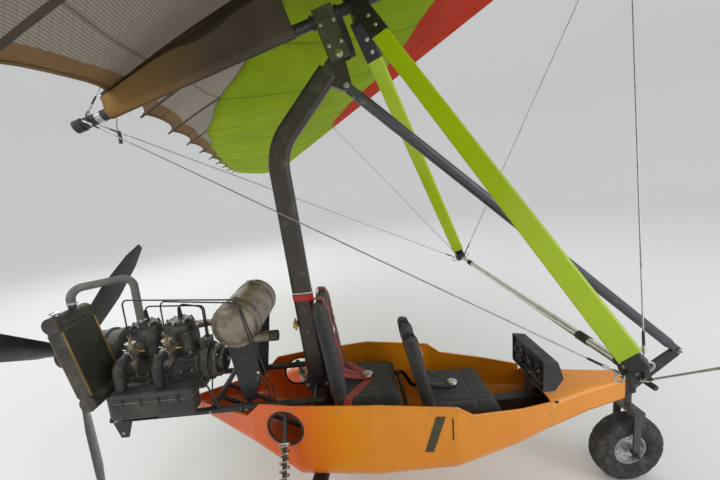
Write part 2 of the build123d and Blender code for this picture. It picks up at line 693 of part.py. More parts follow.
def instrument_panel():
    """A hood on a neck over the beam, with round dials in its face."""
    low, high, front, wall = PANEL_LOW_Z, PANEL_HIGH_Z, PANEL_X + PANEL_DEPTH, PANEL_WALL
    outside = [(PANEL_X, low), (PANEL_X, high), (front - 30, high - 12), (front, low + 62),
               (front - 44, low)]
    hollow = [(PANEL_X - 1, low + wall), (PANEL_X - 1, high - wall), (front - 32, high - 12 - wall),
              (front - wall, low + 62), (front - 46, low + wall)]
    hood = side_plate(outside, PANEL_WIDTH)
    inside = side_plate(hollow, PANEL_WIDTH - 2 * wall)
    face_x = PANEL_X + 14
    face = inside & (Pos(face_x, 0, (low + high) / 2) * Box(PANEL_FACE, PANEL_WIDTH, high - low))
    neck_low = beam_top(PANEL_X) - 2
    neck = Pos(PANEL_X + 18, 0, (neck_low + low) / 2) * Box(36, BEAM_WIDTH - 10, low - neck_low + 2)
    dials = [Pos(face_x - PANEL_FACE, y, low + up) * Rot(0, 90, 0) * Cylinder(radius, PANEL_FACE + 6)
             for y, up, radius in PANEL_DIALS]
    return joined([hood - inside, face, neck] + dials) - beam_bar(RUN_CLEAR)


def seat(base_x, base_z, depth, back_height, lean):
    """A cushion and its leaning back, one soft solid."""
    base = Pos(base_x + depth / 2, 0, base_z + RUN_CLEAR + CUSHION / 2) * Box(depth, SEAT_WIDTH, CUSHION)
    back = Pos(BACK_THICK / 2, 0, back_height / 2) * Box(BACK_THICK, SEAT_WIDTH - 20, back_height)
    back = Rot(0, -lean, 0) * back
    back = Pos(base_x, 0, base_z + RUN_CLEAR + 10) * back
    return base + back


def seat_rear():
    base_x = mast_x(REAR_SEAT_Z) + MAST_CHORD / 2 + 36
    return seat(base_x, REAR_SEAT_Z, 330, 560, 7)


def seat_front():
    return seat(SEAT_DROP_X + 70, front_rail_z() + SEAT_TUBE_R, 370, 440, 12)


def fuel_tank():
    low_z = beam_top(MAST_X + 400 - TANK_ROUND) + RUN_CLEAR
    high_z = REAR_SEAT_Z - 2 * SEAT_TUBE_R - 8
    body = Pos(MAST_X + 250, 0, (low_z + high_z) / 2) * Box(300, 300, high_z - low_z)
    return fillet(body.edges(), TANK_ROUND)


# Power plant

def stood_box(x, length, width, low, high, corner):
    """A block with rounded upright corners, on the aircraft's centre line."""
    return extrude(Pos(x, 0, low) * RectangleRounded(length, width, corner), high - low)


def crankcase():
    """A rounded case with ribs right round it and the flange where its halves meet."""
    half_height = (CASE_HIGH - CASE_LOW) / 2
    rear = (ENGINE_X - CASE_LENGTH / 2, 0, CASE_LOW + half_height)
    start = Plane(origin=rear, x_dir=(0, 1, 0), z_dir=(1, 0, 0))
    parts = [extrude(start * RectangleRounded(2 * CASE_HALF, 2 * half_height, CASE_ROUND), CASE_LENGTH)]
    for dx in CASE_RIB_DX:
        ring = RectangleRounded(2 * (CASE_HALF + CASE_RIB), 2 * half_height, CASE_ROUND)
        parts.append(extrude(start.offset(CASE_LENGTH / 2 + dx - CASE_RIB / 2) * ring, CASE_RIB))
    parts.append(Pos(ENGINE_X, 0, CRANK_Z) * Box(CASE_LENGTH, 2 * CASE_HALF + 24, 12))
    return parts


def cylinder(x):
    """One water jacket on its base flange, and its head with nuts and a plug."""
    head_top, length, width = JACKET_HIGH + HEAD_HEIGHT, JACKET_LENGTH, 2 * JACKET_HALF
    parts = [stood_box(x, length, width, JACKET_LOW, JACKET_HIGH, JACKET_ROUND),
             stood_box(x, length + 18, width + 24, JACKET_LOW, JACKET_LOW + 16, JACKET_ROUND),
             stood_box(x, length + 8, width, JACKET_HIGH - 10, JACKET_HIGH, JACKET_ROUND),
             rod((x, 0, JACKET_HIGH), (x, 0, head_top), HEAD_R),
             rod((x, 0, head_top), (x, 0, head_top + DOME_HEIGHT), DOME_R),
             rod((x, PLUG_Y, head_top), (x, PLUG_Y, PLUG_TOP), 8),
             rod((x, PLUG_Y, head_top + DOME_HEIGHT), (x, PLUG_Y, head_top + DOME_HEIGHT + 12), 12)]
    for spot in PolarLocations(HEAD_R - 12, HEAD_NUTS):
        nut = extrude(RegularPolygon(9, 6), 13)
        parts.append(Pos(x, 0, head_top) * spot * nut)
    return parts


def engine_block():
    """Crankcase, two cylinders, magneto end with its coil, pump inlet and rubber-mounted feet."""
    parts = crankcase()
    for dx in CYLINDER_DX:
        parts += cylinder(ENGINE_X + dx)
    magneto = Vector(ENGINE_X + CASE_LENGTH / 2 - 10, 0, CRANK_Z)
    for reach, radius in MAGNETO_STEPS:
        parts.append(rod(magneto, (ENGINE_X + reach, 0, CRANK_Z), radius))
    parts.append(Pos(COIL_X, 0, COIL_TOP - 24) * Box(44, 70, 48))
    outlet_x = ENGINE_X + CYLINDER_DX[0]
    parts.append(rod((outlet_x, OUTLET_Y, JACKET_HIGH), (outlet_x, OUTLET_Y, OUTLET_TOP), NECK_R))
    parts.append(rod((PUMP_X, 0, PUMP_Z), (PUMP_X, PUMP_Y, PUMP_Z), LOW_HOSE_R + 1))
    mount_low = RAIL_Z + RAIL_R + RUN_CLEAR
    foot_y = RAIL_Y - 35
    for dx in MOUNT_DX:
        for side in (-1, 1):
            on_rail = Vector(ENGINE_X + dx, side * RAIL_Y, mount_low)
            parts.append(rod(on_rail, on_rail + Vector(0, 0, MOUNT_HEIGHT), MOUNT_R))
            foot = Box(2 * MOUNT_R + 18, 130, MOUNT_FOOT)
            parts.append(Pos(on_rail.X, side * foot_y, mount_low + MOUNT_HEIGHT + MOUNT_FOOT / 2 - 1) * foot)
    return joined(parts)


def box_outline(outset):
    """The gearbox's outline from behind: a low and a high circle in one skin."""
    low = Pos(0, CRANK_Z) * Circle(BOX_LOW_R + outset)
    high = Pos(0, PROP_Z) * Circle(BOX_HIGH_R + outset)
    return make_hull(low.edges() + high.edges())


def gearbox():
    front_x = ENGINE_X - CASE_LENGTH / 2 - RUN_CLEAR
    rear_x = GEARBOX_X - 65
    depth = front_x - rear_x
    face = Plane(origin=(rear_x, 0, 0), x_dir=(0, 1, 0), z_dir=(1, 0, 0))
    parts = [extrude(face * box_outline(0), depth)]
    for start in (depth - 14, depth / 2 - 6):
        parts.append(extrude(face.offset(start) * box_outline(BOX_LIP), 14))
    ribs = [Pos(rear_x - 4, 0, PROP_Z) * Rot(36 * k, 0, 0) * Box(10, 6, 4 * BOX_HIGH_R) for k in range(5)]
    parts += [rib & extrude(face.offset(-10) * box_outline(-6), 12) for rib in ribs]
    parts.append(rod((rear_x, 0, PROP_Z), (rear_x - BOX_BOSS, 0, PROP_Z), BOX_BOSS_R))
    for k in range(BOX_STUDS):
        stud = Rot(360 / BOX_STUDS * k, 0, 0) * Pos(0, 0, BOX_BOSS_R - 12)
        stud = stud * Rot(0, 90, 0) * Cylinder(6, 22)
        parts.append(Pos(rear_x - BOX_BOSS - 9, 0, PROP_Z) * stud)
    parts.append(rod((rear_x, 0, PROP_Z), (PROP_X + 62, 0, PROP_Z), 46))
    parts.append(rod((rear_x, 0, PROP_Z), (PROP_X - 20, 0, PROP_Z), PROP_SHAFT_R))
    return joined(parts)


def carburettor(x):
    """Rubber socket, body with its mouth, float bowl, and the slide's cap and cable guide."""
    mouth = CARB_MOUTH_Y
    return joined([rod((x, -JACKET_HALF - RUN_CLEAR, PORT_Z), (x, -112, PORT_Z), 23),
                   rod((x, -108, PORT_Z), (x, mouth, PORT_Z), CARB_R),
                   rod((x, mouth + 8, PORT_Z), (x, mouth, PORT_Z), CARB_R + 4),
                   rod((x, BOWL_Y, PORT_Z), (x, BOWL_Y, PORT_Z - 58), 24),
                   rod((x, BOWL_Y, PORT_Z - 58), (x, BOWL_Y, PORT_Z - 66), 9),
                   rod((x, BOWL_Y, PORT_Z), (x, BOWL_Y, PORT_Z + 52), 21),
                   rod((x, BOWL_Y, PORT_Z + 44), (x, BOWL_Y, PORT_Z + 58), 24),
                   rod((x, BOWL_Y, PORT_Z + 58), (x, BOWL_Y, CAP_TOP), 5),
                   Pos(x + 26, BOWL_Y, PORT_Z + 12) * Box(22, 12, 20)])


def carburettors():
    return Compound(children=[carburettor(ENGINE_X + dx) for dx in CYLINDER_DX])


def airbox():
    """A long rounded box beside the engine, with a duct to each carburettor's mouth."""
    height = AIRBOX_HIGH - AIRBOX_LOW - RUN_CLEAR
    body = Pos(AIRBOX_X, AIRBOX_Y, AIRBOX_HIGH - height / 2) * Box(AIRBOX_LENGTH, AIRBOX_WIDTH, height)
    parts = [fillet(body.edges(), AIRBOX_ROUND)]
    duct_y = AIRBOX_Y + 12
    for dx in CYLINDER_DX:
        x = ENGINE_X + dx
        parts.append(bent_rod([(x, CARB_MOUTH_Y - RUN_CLEAR, PORT_Z), (x, duct_y, PORT_Z),
                               (x, duct_y, AIRBOX_HIGH - 10)], 40, 23))
    return joined(parts)


def exhaust():
    """A flanged pipe from the rear cylinder on under the silencer, and one from the front into it."""
    parts = []
    start_y = JACKET_HALF + RUN_CLEAR
    y, z = MANIFOLD_Y, CRANK_Z + 130
    end_x = SILENCER_X - SILENCER_R
    for dx, radius, reach in zip(CYLINDER_DX, PIPE_R, (end_x - 40, end_x - 80)):
        x = ENGINE_X + dx
        parts.append(Pos(x, start_y + 6, z) * Box(84, 12, 56))
        parts.append(bent_rod([(x, start_y, z), (x, y - 30, z), (x + 70, y, z), (reach, y, z)], 30, radius))
    cone = rod((end_x - 60, y, z), (SILENCER_X, y, z), PIPE_R[0] + 10)
    cone -= silencer_drum(RUN_CLEAR)
    return joined(parts + [cone])


def silencer_drum(outset):
    """The drum with its stepped ends, each face moved out by the outset."""
    outline = []
    for y, share in SILENCER_OUTLINE:
        end = -outset if y < 0 else outset
        radius = share * SILENCER_R + (outset if share else 0)
        outline.append((SILENCER_X + radius, y + end, SILENCER_Z))
    return revolve(make_face(Polyline(*outline, close=True)), Axis((SILENCER_X, 0, SILENCER_Z), (0, 1, 0)))


def silencer():
    """The hollow drum, its two bands and the open tail pipe."""
    parts = [silencer_drum(0)]
    for y in CRADLE_Y:
        middle = Vector(SILENCER_X, y, SILENCER_Z)
        parts.append(rod(middle - Vector(0, 11, 0), middle + Vector(0, 11, 0), SILENCER_R + BAND))
    tail = Vector(SILENCER_X, TAIL_PIPE_Y, TAIL_PIPE_Z)
    parts.append(rod(tail, tail + Vector(190, 0, 0), TAIL_PIPE_R))
    bore = rod(tail + Vector(60, 0, 0), tail + Vector(191, 0, 0), TAIL_PIPE_R - STEEL_WALL)
    return joined(parts) - silencer_drum(-STEEL_WALL) - bore


def radiator_point(along, up):
    """A point on the leaning radiator's middle plane."""
    lean = radians(RADIATOR_LEAN)
    return Vector(RADIATOR_X - up * sin(lean) + along * cos(lean), RADIATOR_Y, RADIATOR_Z + up * cos(lean))


def radiator():
    """A core between two round end tanks, a foot on the rail, and a neck at each tank."""
    core = Rot(0, -RADIATOR_LEAN, 0) * Box(CORE_THICK, CORE_WIDTH, CORE_HEIGHT)
    parts = [Pos(RADIATOR_X, RADIATOR_Y, RADIATOR_Z) * core]
    across = Vector(0, CORE_WIDTH / 2 + 4, 0)
    for end in (-1, 1):
        middle = radiator_point(0, end * END_TANK_REACH)
        parts.append(rod(middle - across, middle + across, END_TANK_R))
    low, high = radiator_point(0, -END_TANK_REACH), radiator_point(0, END_TANK_REACH)
    foot_low = RAIL_Z + RAIL_R + RUN_CLEAR
    parts.append(Pos(low.X, -RAIL_Y, (foot_low + low.Z) / 2) * Box(44, 26, low.Z - foot_low))
    parts.append(rod((high.X, HIGH_HOSE_Y, high.Z), (high.X, HIGH_HOSE_Y, neck_top()), NECK_R))
    parts.append(rod((low.X, LOW_HOSE_Y, PUMP_Z), (low.X + END_TANK_R + 12, LOW_HOSE_Y, PUMP_Z), LOW_HOSE_R))
    return joined(parts)


def neck_top():
    return radiator_point(0, END_TANK_REACH).Z + END_TANK_R + 12


def coolant_hoses():
    """The upper hose arches from the rear head over to the radiator; the lower one runs back to the pump."""
    head_x, top_x = ENGINE_X + CYLINDER_DX[0], radiator_point(0, END_TANK_REACH).X
    upper = bent_rod([(head_x, OUTLET_Y, OUTLET_TOP + RUN_CLEAR), (head_x, OUTLET_Y, HOSE_ARCH_Z),
                      (top_x, HIGH_HOSE_Y, HOSE_ARCH_Z), (top_x, HIGH_HOSE_Y, neck_top() + RUN_CLEAR)],
                     50, HOSE_R)
    low_x = radiator_point(0, -END_TANK_REACH).X + END_TANK_R + 12 + RUN_CLEAR
    lower = bent_rod([(low_x, LOW_HOSE_Y, PUMP_Z), (PUMP_X, LOW_HOSE_Y, PUMP_Z),
                      (PUMP_X, PUMP_Y - RUN_CLEAR, PUMP_Z)], 20, LOW_HOSE_R)
    return Compound(children=[upper, lower])


def engine_cables():
    """A lead from each plug to the coil, and the two throttle cables round the silencer to the rail."""
    cables = []
    for dx, coil_y in zip(CYLINDER_DX, (28, 8)):
        x = ENGINE_X + dx
        route = [(x, PLUG_Y, PLUG_TOP + RUN_CLEAR), (x, PLUG_Y, PLUG_TOP + 46),
                 (COIL_X, coil_y, PLUG_TOP + 20), (COIL_X, coil_y, COIL_TOP + RUN_CLEAR)]
        cables.append(bent_rod(route, 26, LEAD_R))
    for dx, step in zip(CYLINDER_DX, (22, 0)):
        x, end_x, arch_z = ENGINE_X + dx, THROTTLE_END_X - step, CABLE_ARCH_Z + step
        route = [(x, BOWL_Y, CAP_TOP + RUN_CLEAR), (x, BOWL_Y, arch_z),
                 (SILENCER_X + 60, -262 - step, arch_z),
                 (end_x, -240 - step / 2, RAIL_Z + 170), (end_x, -RAIL_Y, RAIL_Z + 90),
                 (end_x, -RAIL_Y, RAIL_Z + RAIL_R + RUN_CLEAR)]
        cables.append(bent_rod(route, 30, CABLE_R))
    return Compound(children=cables)


def prop_hub():
    """Two clamp rings with a waist between them, the flange and its through bolts."""
    ends = [Pos(dx, 0, 0) * Rot(0, 90, 0) * Cylinder(HUB_R, 24) for dx in (-16, 16)]
    waist = Rot(0, 90, 0) * Cylinder(HUB_R - 6, 30)
    flange = Pos(34, 0, 0) * Rot(0, 90, 0) * Cylinder(60, 14)
    bolt = Pos(0, 0, 50) * Rot(0, 90, 0) * Cylinder(7, 80)
    bolts = [Rot(360 / HUB_BOLTS * k, 0, 0) * bolt for k in range(HUB_BOLTS)]
    bore = Rot(0, 90, 0) * Cylinder(PROP_SHAFT_R + RUN_CLEAR, 200)
    return Pos(PROP_X, 0, PROP_Z) * (joined(ends + [waist, flange] + bolts) - bore)


def blade():
    sections = []
    for radius, chord, thick, twist in BLADE_STATIONS:
        across = (sin(radians(twist)), cos(radians(twist)), 0)
        plane = Plane(origin=(0, 0, radius), x_dir=across, z_dir=(0, 0, 1))
        edge = [ThreePointArc((-chord / 2, 0), (-chord * 0.1, thick / 2), (chord / 2, 0)),
                ThreePointArc((chord / 2, 0), (-chord * 0.1, -thick / 2), (-chord / 2, 0))]
        sections.append(plane * make_face(edge))
    return loft(sections, ruled=True)


def prop_blades():
    blades = [Pos(PROP_X, 0, PROP_Z) * Rot(60 + 120 * k, 0, 0) * blade() for k in range(3)]
    drum = Pos(PROP_X, 0, PROP_Z) * Rot(0, 90, 0) * Cylinder(HUB_R + RUN_CLEAR, 90)
    return Compound(children=[b - drum for b in blades])


# Hang bracket, between mast head and keel

WING = Pos(HANG_X, 0, HANG_Z) * Rot(0, -WING_PITCH, 0)


def hang_bracket():
    gap = HEAD_PLATE / 2 + 4
    plates = []
    for side in (-1, 1):
        spot = Pos(0, side * (gap + BRACKET_PLATE / 2), (KEEL_W - 10) / 2)
        plates.append(spot * Box(BRACKET_WIDTH, BRACKET_PLATE, KEEL_W + 40))
    block = Pos(0, 0, KEEL_W) * Box(BRACKET_WIDTH, 2 * gap + 2 * BRACKET_PLATE, 76)
    bolt = Rot(90, 0, 0) * Cylinder(HANG_BOLT_R, 2 * gap + 2 * BRACKET_PLATE + 24)
    whole = joined(plates + [block, bolt])
    keel_room = Pos(0, 0, KEEL_W) * Rot(0, 90, 0) * Cylinder(KEEL_R + RUN_CLEAR, BRACKET_WIDTH + 4)
    return WING * (whole - keel_room)


# Wing frame

def edge_u(v):
    """The leading edge's station along the keel at span v."""
    return NOSE_U - v * tan(radians(EDGE_SWEEP))


def keel_tube():
    pipe = tube((KEEL_TAIL_U, 0, KEEL_W), (NOSE_U - 30, 0, KEEL_W), KEEL_R, KEEL_WALL)
    collars = []
    for u in (-BRACKET_WIDTH / 2 - 12, BRACKET_WIDTH / 2 + 12):
        ring = Circle(KEEL_R + 8) - Circle(KEEL_R - 1)
        collars.append(extrude(Plane(origin=(u - 6, 0, KEEL_W), z_dir=(1, 0, 0)) * ring, 12))
    tail = Pos(KEEL_TAIL_U + 60, 0, KEEL_W) * Box(40, 2 * KEEL_R + 16, 16)
    plates = []
    for side in (-1, 1):
        low_w = KEEL_W + side * (NOSE_PLATE_W - NOSE_PLATE / 2)
        outline = [(u, v) for u, v in NOSE_OUTLINE] + [(u, -v) for u, v in reversed(NOSE_OUTLINE)]
        face = make_face(Polyline(*[(u, v, low_w) for u, v in outline], close=True))
        plate = extrude(face, NOSE_PLATE / 2, both=True)
        spacer_high = EDGE_TUBE_R + RUN_CLEAR - KEEL_R + 2
        spacer_w = KEEL_W + side * (KEEL_R - 2 + spacer_high / 2)
        plates += [plate, Pos(NOSE_U - 130, 0, spacer_w) * Box(120, 20, spacer_high)]
    cap = rod((KEEL_TAIL_U - 6, 0, KEEL_W), (KEEL_TAIL_U + 34, 0, KEEL_W), KEEL_R + 4)
    return WING * joined([pipe, tail, cap, apex_bracket()] + collars + plates)


def downtube(outset, length=None):
    """The port downtube, or a stretch of it from the top, each face moved out by the outset."""
    top = Vector(APEX_U, APEX_V, APEX_W)
    run = Vector(BAR_U, BAR_HALF, BAR_W + CORNER_RISE) - top
    start = Plane(origin=top, x_dir=(1, 0, 0), z_dir=run)
    section = streamline(DOWNTUBE_CHORD + 2 * outset, DOWNTUBE_THICK + 2 * outset)
    return extrude(start * section, length or run.length)


def apex_bracket():
    """The cross block under the keel that the downtubes hang from, with a sleeve round each tube's top."""
    outline = [(-APEX_V - 14, APEX_W - 22), (APEX_V + 14, APEX_W - 22), (APEX_V - 10, KEEL_W - 8),
               (-APEX_V + 10, KEEL_W - 8)]
    face = make_face(Polyline(*[(APEX_U - 26, v, w) for v, w in outline], close=True))
    block = extrude(face, 52, dir=(1, 0, 0))
    for sleeve in both_sides(downtube(APEX_SLEEVE, APEX_SLEEVE_LENGTH)):
        block += sleeve
    for tube_room in both_sides(downtube(RUN_CLEAR)):
        block -= tube_room
    return block - rod((APEX_U - 40, 0, KEEL_W), (APEX_U + 40, 0, KEEL_W), KEEL_R - KEEL_WALL / 2)


def edge_tubes():
    start_v = KEEL_R + EDGE_TUBE_R + 4
    end_v = HALF_SPAN - 40
    port = tube((edge_u(start_v) - ROLL_R, start_v, KEEL_W), (edge_u(end_v) - ROLL_R, end_v, KEEL_W),
                EDGE_TUBE_R, EDGE_TUBE_WALL)
    return WING * Compound(children=both_sides(port))


def streamline(chord, thick):
    nose = Pos(chord / 2 - thick / 2, 0) * Circle(thick / 2)
    tail = Pos(-chord / 2 + 4, 0) * Circle(4)
    return make_hull(nose.edges() + tail.edges())


def downtubes():
    return WING * Compound(children=both_sides(downtube(0)))


def base_bar():
    bar = rod((BAR_U, -BAR_HALF - 10, BAR_W), (BAR_U, BAR_HALF + 10, BAR_W), BAR_R)
    return WING * bar


def bar_fittings():
    block = Pos(BAR_U, BAR_HALF, BAR_W) * Box(CORNER_SIZE + 16, CORNER_SIZE, CORNER_SIZE)
    top = Vector(APEX_U, APEX_V, APEX_W)
    low = Vector(BAR_U, BAR_HALF, BAR_W + CORNER_RISE)
    along = (top - low).normalized()
    neck = extrude(Plane(origin=low - along * RUN_CLEAR, x_dir=(1, 0, 0), z_dir=along * -1)
                   * streamline(DOWNTUBE_CHORD - 16, DOWNTUBE_THICK), 44)
    block = block + neck
    block -= Pos(BAR_U, BAR_HALF, BAR_W) * Rot(90, 0, 0) * Cylinder(BAR_R + RUN_CLEAR, 200)
    return WING * Compound(children=both_sides(block))


def kingpost():
    return WING * rod((KINGPOST_U, 0, KEEL_W + KEEL_R + 0.3), (KINGPOST_U, 0, KINGPOST_TOP_W), KINGPOST_R)


def side_wire(z_side):
    """End points of a port side wire at the leading edge: under it (-1) or over it (1)."""
    start = {-1: Vector(BAR_U, BAR_HALF + CORNER_SIZE / 2 + LOW_SIDE_SEAT, BAR_W - SIDE_WIRE_DROP),
             1: Vector(KINGPOST_U, KINGPOST_R + HIGH_SIDE_SEAT, KINGPOST_TOP_W - 10)}[z_side]
    end = Vector(edge_u(JUNCTION_V) - ROLL_R - JUNCTION_SETBACK, JUNCTION_V, KEEL_W + z_side * 20)
    return start, end


def lower_wires():
    front = (Vector(BAR_U + CORNER_SIZE / 2 + 8 + WIRE_SEAT, BAR_HALF, BAR_W),
             Vector(NOSE_WIRE_U, 12, KEEL_W - NOSE_PLATE_W - WIRE_SEAT))
    rear = (Vector(BAR_U - CORNER_SIZE / 2 - 8 - WIRE_SEAT, BAR_HALF, BAR_W),
            Vector(KEEL_TAIL_U + 60, KEEL_R + 8 + WIRE_SEAT, KEEL_W))
    wires = []
    for start, end in (front, rear, side_wire(-1)):
        wires += both_sides(rod(start, end, WIRE_R))
    return WING * Compound(children=wires)


def upper_wires():
    top_z = KINGPOST_TOP_W - 16
    parts = [rod((KINGPOST_U + KINGPOST_R + WIRE_SEAT, 0, top_z),
                 (NOSE_WIRE_U, 0, KEEL_W + NOSE_PLATE_W + WIRE_SEAT), WIRE_R),
             rod((KINGPOST_U - KINGPOST_R - WIRE_SEAT, 0, top_z),
                 (KEEL_TAIL_U + 60, 0, KEEL_W + KEEL_R + WIRE_SEAT), WIRE_R)]
    parts += both_sides(rod(*side_wire(1), WIRE_R))
    return WING * Compound(children=parts)


# Sail

def sail_chord(v, tail_u, tail_w, camber):
    """Front and rear points of a sail section, and its crest height."""
    front = Vector(edge_u(v) - ROLL_R, v, KEEL_W + ROLL_R)
    rear = Vector(tail_u, v, tail_w)
    crest = front + (rear - front) * CREST_SHARE + Vector(0, 0, camber * (front.X - rear.X))
    return front, crest, rear


def strip(points, thick):
    """A thin section: an arc through three points, and the same arc set down by the cloth's thickness."""
    down = Vector(0, 0, -thick)
    a, b, c = points
    return make_face([ThreePointArc(a, b, c), Line(c, c + down), ThreePointArc(c + down, b + down, a + down),
                      Line(a + down, a)])


def at_span(table, v):
    """A sail station between two rows of the table."""
    for low, high in zip(table, table[1:]):
        if low[0] <= v <= high[0]:
            share = (v - low[0]) / (high[0] - low[0])
            return tuple(a + (b - a) * share for a, b in zip(low, high))
    return table[-1]


def sail_upper():
    half = loft([strip(sail_chord(*row), SKIN) for row in SAIL_STATIONS], ruled=True)
    whole = joined(both_sides(half))
    slot = Pos(KINGPOST_U, 0, KEEL_W + 300) * Cylinder(KINGPOST_R + 14, 400)
    whole -= slot
    return WING * (whole - wire_holes())


def wire_holes():
    holes = []
    for z_side in (-1, 1):
        start, end = side_wire(z_side)
        along = (start - end).normalized()
        holes += both_sides(rod(end - along * WIRE_HOLE_R, end + along * WIRE_HOLE_RUN, WIRE_HOLE_R))
    return joined(holes)


def lip_z(back):
    """Height of the edge's lower stretch at a distance behind the leading edge tube's axis."""
    return KEEL_W - ROLL_R + LIP_SLOPE * back


def lower_points(row):
    front, crest, rear = sail_chord(*row)
    chord = front.X - rear.X
    lip = Vector(front.X - LIP_SHARE * chord, front.Y, lip_z(LIP_SHARE * chord))
    share = LOWER_SHARE
    join = front + (rear - front) * share
    rise = (crest.Z - (front + (rear - front) * CREST_SHARE).Z)
    drop = ((share - CREST_SHARE) / (1 - CREST_SHARE)) ** 2
    join = Vector(join.X, join.Y, join.Z + rise * (1 - drop) - SKIN - SEAM_GAP - 3)
    middle = lip + (join - lip) * 0.5 - Vector(0, 0, 0.045 * chord)
    return lip, middle, join


def sail_lower():
    rows = [at_span(SAIL_STATIONS, LOWER_START_V)] + SAIL_STATIONS[1:4]
    half = loft([strip(lower_points(row), SKIN) for row in rows], ruled=True)
    half -= wire_holes()
    return WING * Compound(children=both_sides(half))


def edge_lip():
    """The leading edge's flat lower stretch, from under the tube back to the lower sail, in one plane."""
    rows = [at_span(SAIL_STATIONS, EDGE_START_V)] + SAIL_STATIONS[1:]
    outline = []
    for row in (rows[0], rows[-1]):
        front = sail_chord(*row)[0]
        outline.append(Vector(front.X, front.Y, lip_z(0) - SEAM_GAP))
    for row in reversed(rows):
        front = sail_chord(*row)[0]
        lip = lower_points(row)[0]
        back = front.X - lip.X - SEAM_GAP
        outline.append(Vector(front.X - back, front.Y, lip_z(back) - SEAM_GAP))
    return extrude(make_face(Polyline(*outline, close=True)), SKIN, dir=(0, 0, 1))


def edge_roll():
    """The half round of cloth about the port leading edge tube."""
    start = Vector(edge_u(0) - ROLL_R, 0, KEEL_W)
    end = Vector(edge_u(HALF_SPAN * 1.1) - ROLL_R, HALF_SPAN * 1.1, KEEL_W)
    outer = ROLL_R + SEAM_GAP
    across = Plane(origin=start, x_dir=(0, 0, 1), z_dir=end - start)
    ring = Circle(outer) - Circle(outer - SKIN)
    ahead = Pos(0, -outer) * Rectangle(2 * outer, 2 * outer)
    behind = Pos(0, outer) * Rectangle(2 * outer, 2 * outer)
    front_half = ahead if (across.y_dir.X < 0) else behind
    roll = extrude(across * (ring & front_half), (end - start).length)
    kept_v = (EDGE_START_V + HALF_SPAN) / 2
    return roll & Pos(0, kept_v, KEEL_W) * Box(4 * HALF_SPAN, HALF_SPAN - EDGE_START_V, 4 * ROLL_R)


def sail_edge():
    half = edge_roll() + edge_lip() - wire_holes()
    return WING * Compound(children=both_sides(half))


def keel_pocket():
    """The cloth fin that hangs the sail's centre from the keel."""
    outer = []
    inner = []
    for u in POCKET_U:
        row = SAIL_STATIONS[0]
        front, crest, rear = sail_chord(*row)
        share = (front.X - u) / (front.X - rear.X)
        line = front + (rear - front) * share
        rise = crest.Z - (front + (rear - front) * CREST_SHARE).Z
        top = line.Z + rise * (1 - ((share - CREST_SHARE) / (1 - CREST_SHARE)) ** 2) - SKIN - 8
        for bag, grow in ((outer, SKIN), (inner, 0)):
            plane = Plane(origin=(u, 0, 0), x_dir=(0, 1, 0), z_dir=(1, 0, 0))
            round_low = Pos(0, KEEL_W) * Circle(KEEL_R + 1 + grow)
            cap = Pos(0, top - 4) * Circle(3 + grow)
            bag.append(plane * make_hull(round_low.edges() + cap.edges()))
    return WING * (loft(outer, ruled=True) - loft(inner, ruled=True))


PARTS = {
    "keel_beam": keel_beam,
    "mast": mast,
    "front_strut": front_strut,
    "engine_frame": engine_frame,
    "seat_frame": seat_frame,
    "gear_leg_left": lambda: gear_leg(1),
    "gear_leg_right": lambda: gear_leg(-1),
    "spat_left": lambda: spat(1),
    "spat_right": lambda: spat(-1),
    "pod_shell": pod_shell,
    "pod_cowl": pod_cowl,
    "instrument_panel": instrument_panel,
    "seat_front": seat_front,
    "seat_rear": seat_rear,
    "fuel_tank": fuel_tank,
    "engine_block": engine_block,
    "gearbox": gearbox,
    "carburettors": carburettors,
    "exhaust_pipes": exhaust,
    "silencer": silencer,
    "radiator": radiator,
    "coolant_hose": coolant_hoses,
    "airbox": airbox,
    "engine_cables": engine_cables,
    "nose_fork": nose_fork,
    "nose_hub": lambda: wheel_hub(NOSE_AXLE_X, 0),
    "nose_tyre": lambda: tyre(NOSE_AXLE_X, 0),
    "hub_left": lambda: wheel_hub(MAIN_AXLE_X, TRACK / 2),
    "tyre_left": lambda: tyre(MAIN_AXLE_X, TRACK / 2),
    "hub_right": lambda: wheel_hub(MAIN_AXLE_X, -TRACK / 2),
    "tyre_right": lambda: tyre(MAIN_AXLE_X, -TRACK / 2),
    "prop_hub": prop_hub,
    "prop_blades": prop_blades,
    "hang_bracket": hang_bracket,
    "keel_tube": keel_tube,
    "edge_tubes": edge_tubes,
    "downtubes": downtubes,
    "base_bar": base_bar,
    "bar_fittings": bar_fittings,
    "kingpost": kingpost,
    "lower_wires": lower_wires,
    "upper_wires": upper_wires,
    "sail_upper": sail_upper,
    "sail_lower": sail_lower,
    "sail_edge": sail_edge,
    "keel_pocket": keel_pocket,
}

os.makedirs("parts", exist_ok=True)
for name, build in PARTS.items():
    export_step(build(), "parts/" + name + ".step")
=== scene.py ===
import json
from math import asin, ceil, cos, pi, radians, sin, sqrt, tan

import bmesh
import bpy
from mathutils import Matrix, Vector
from mathutils.bvhtree import BVHTree


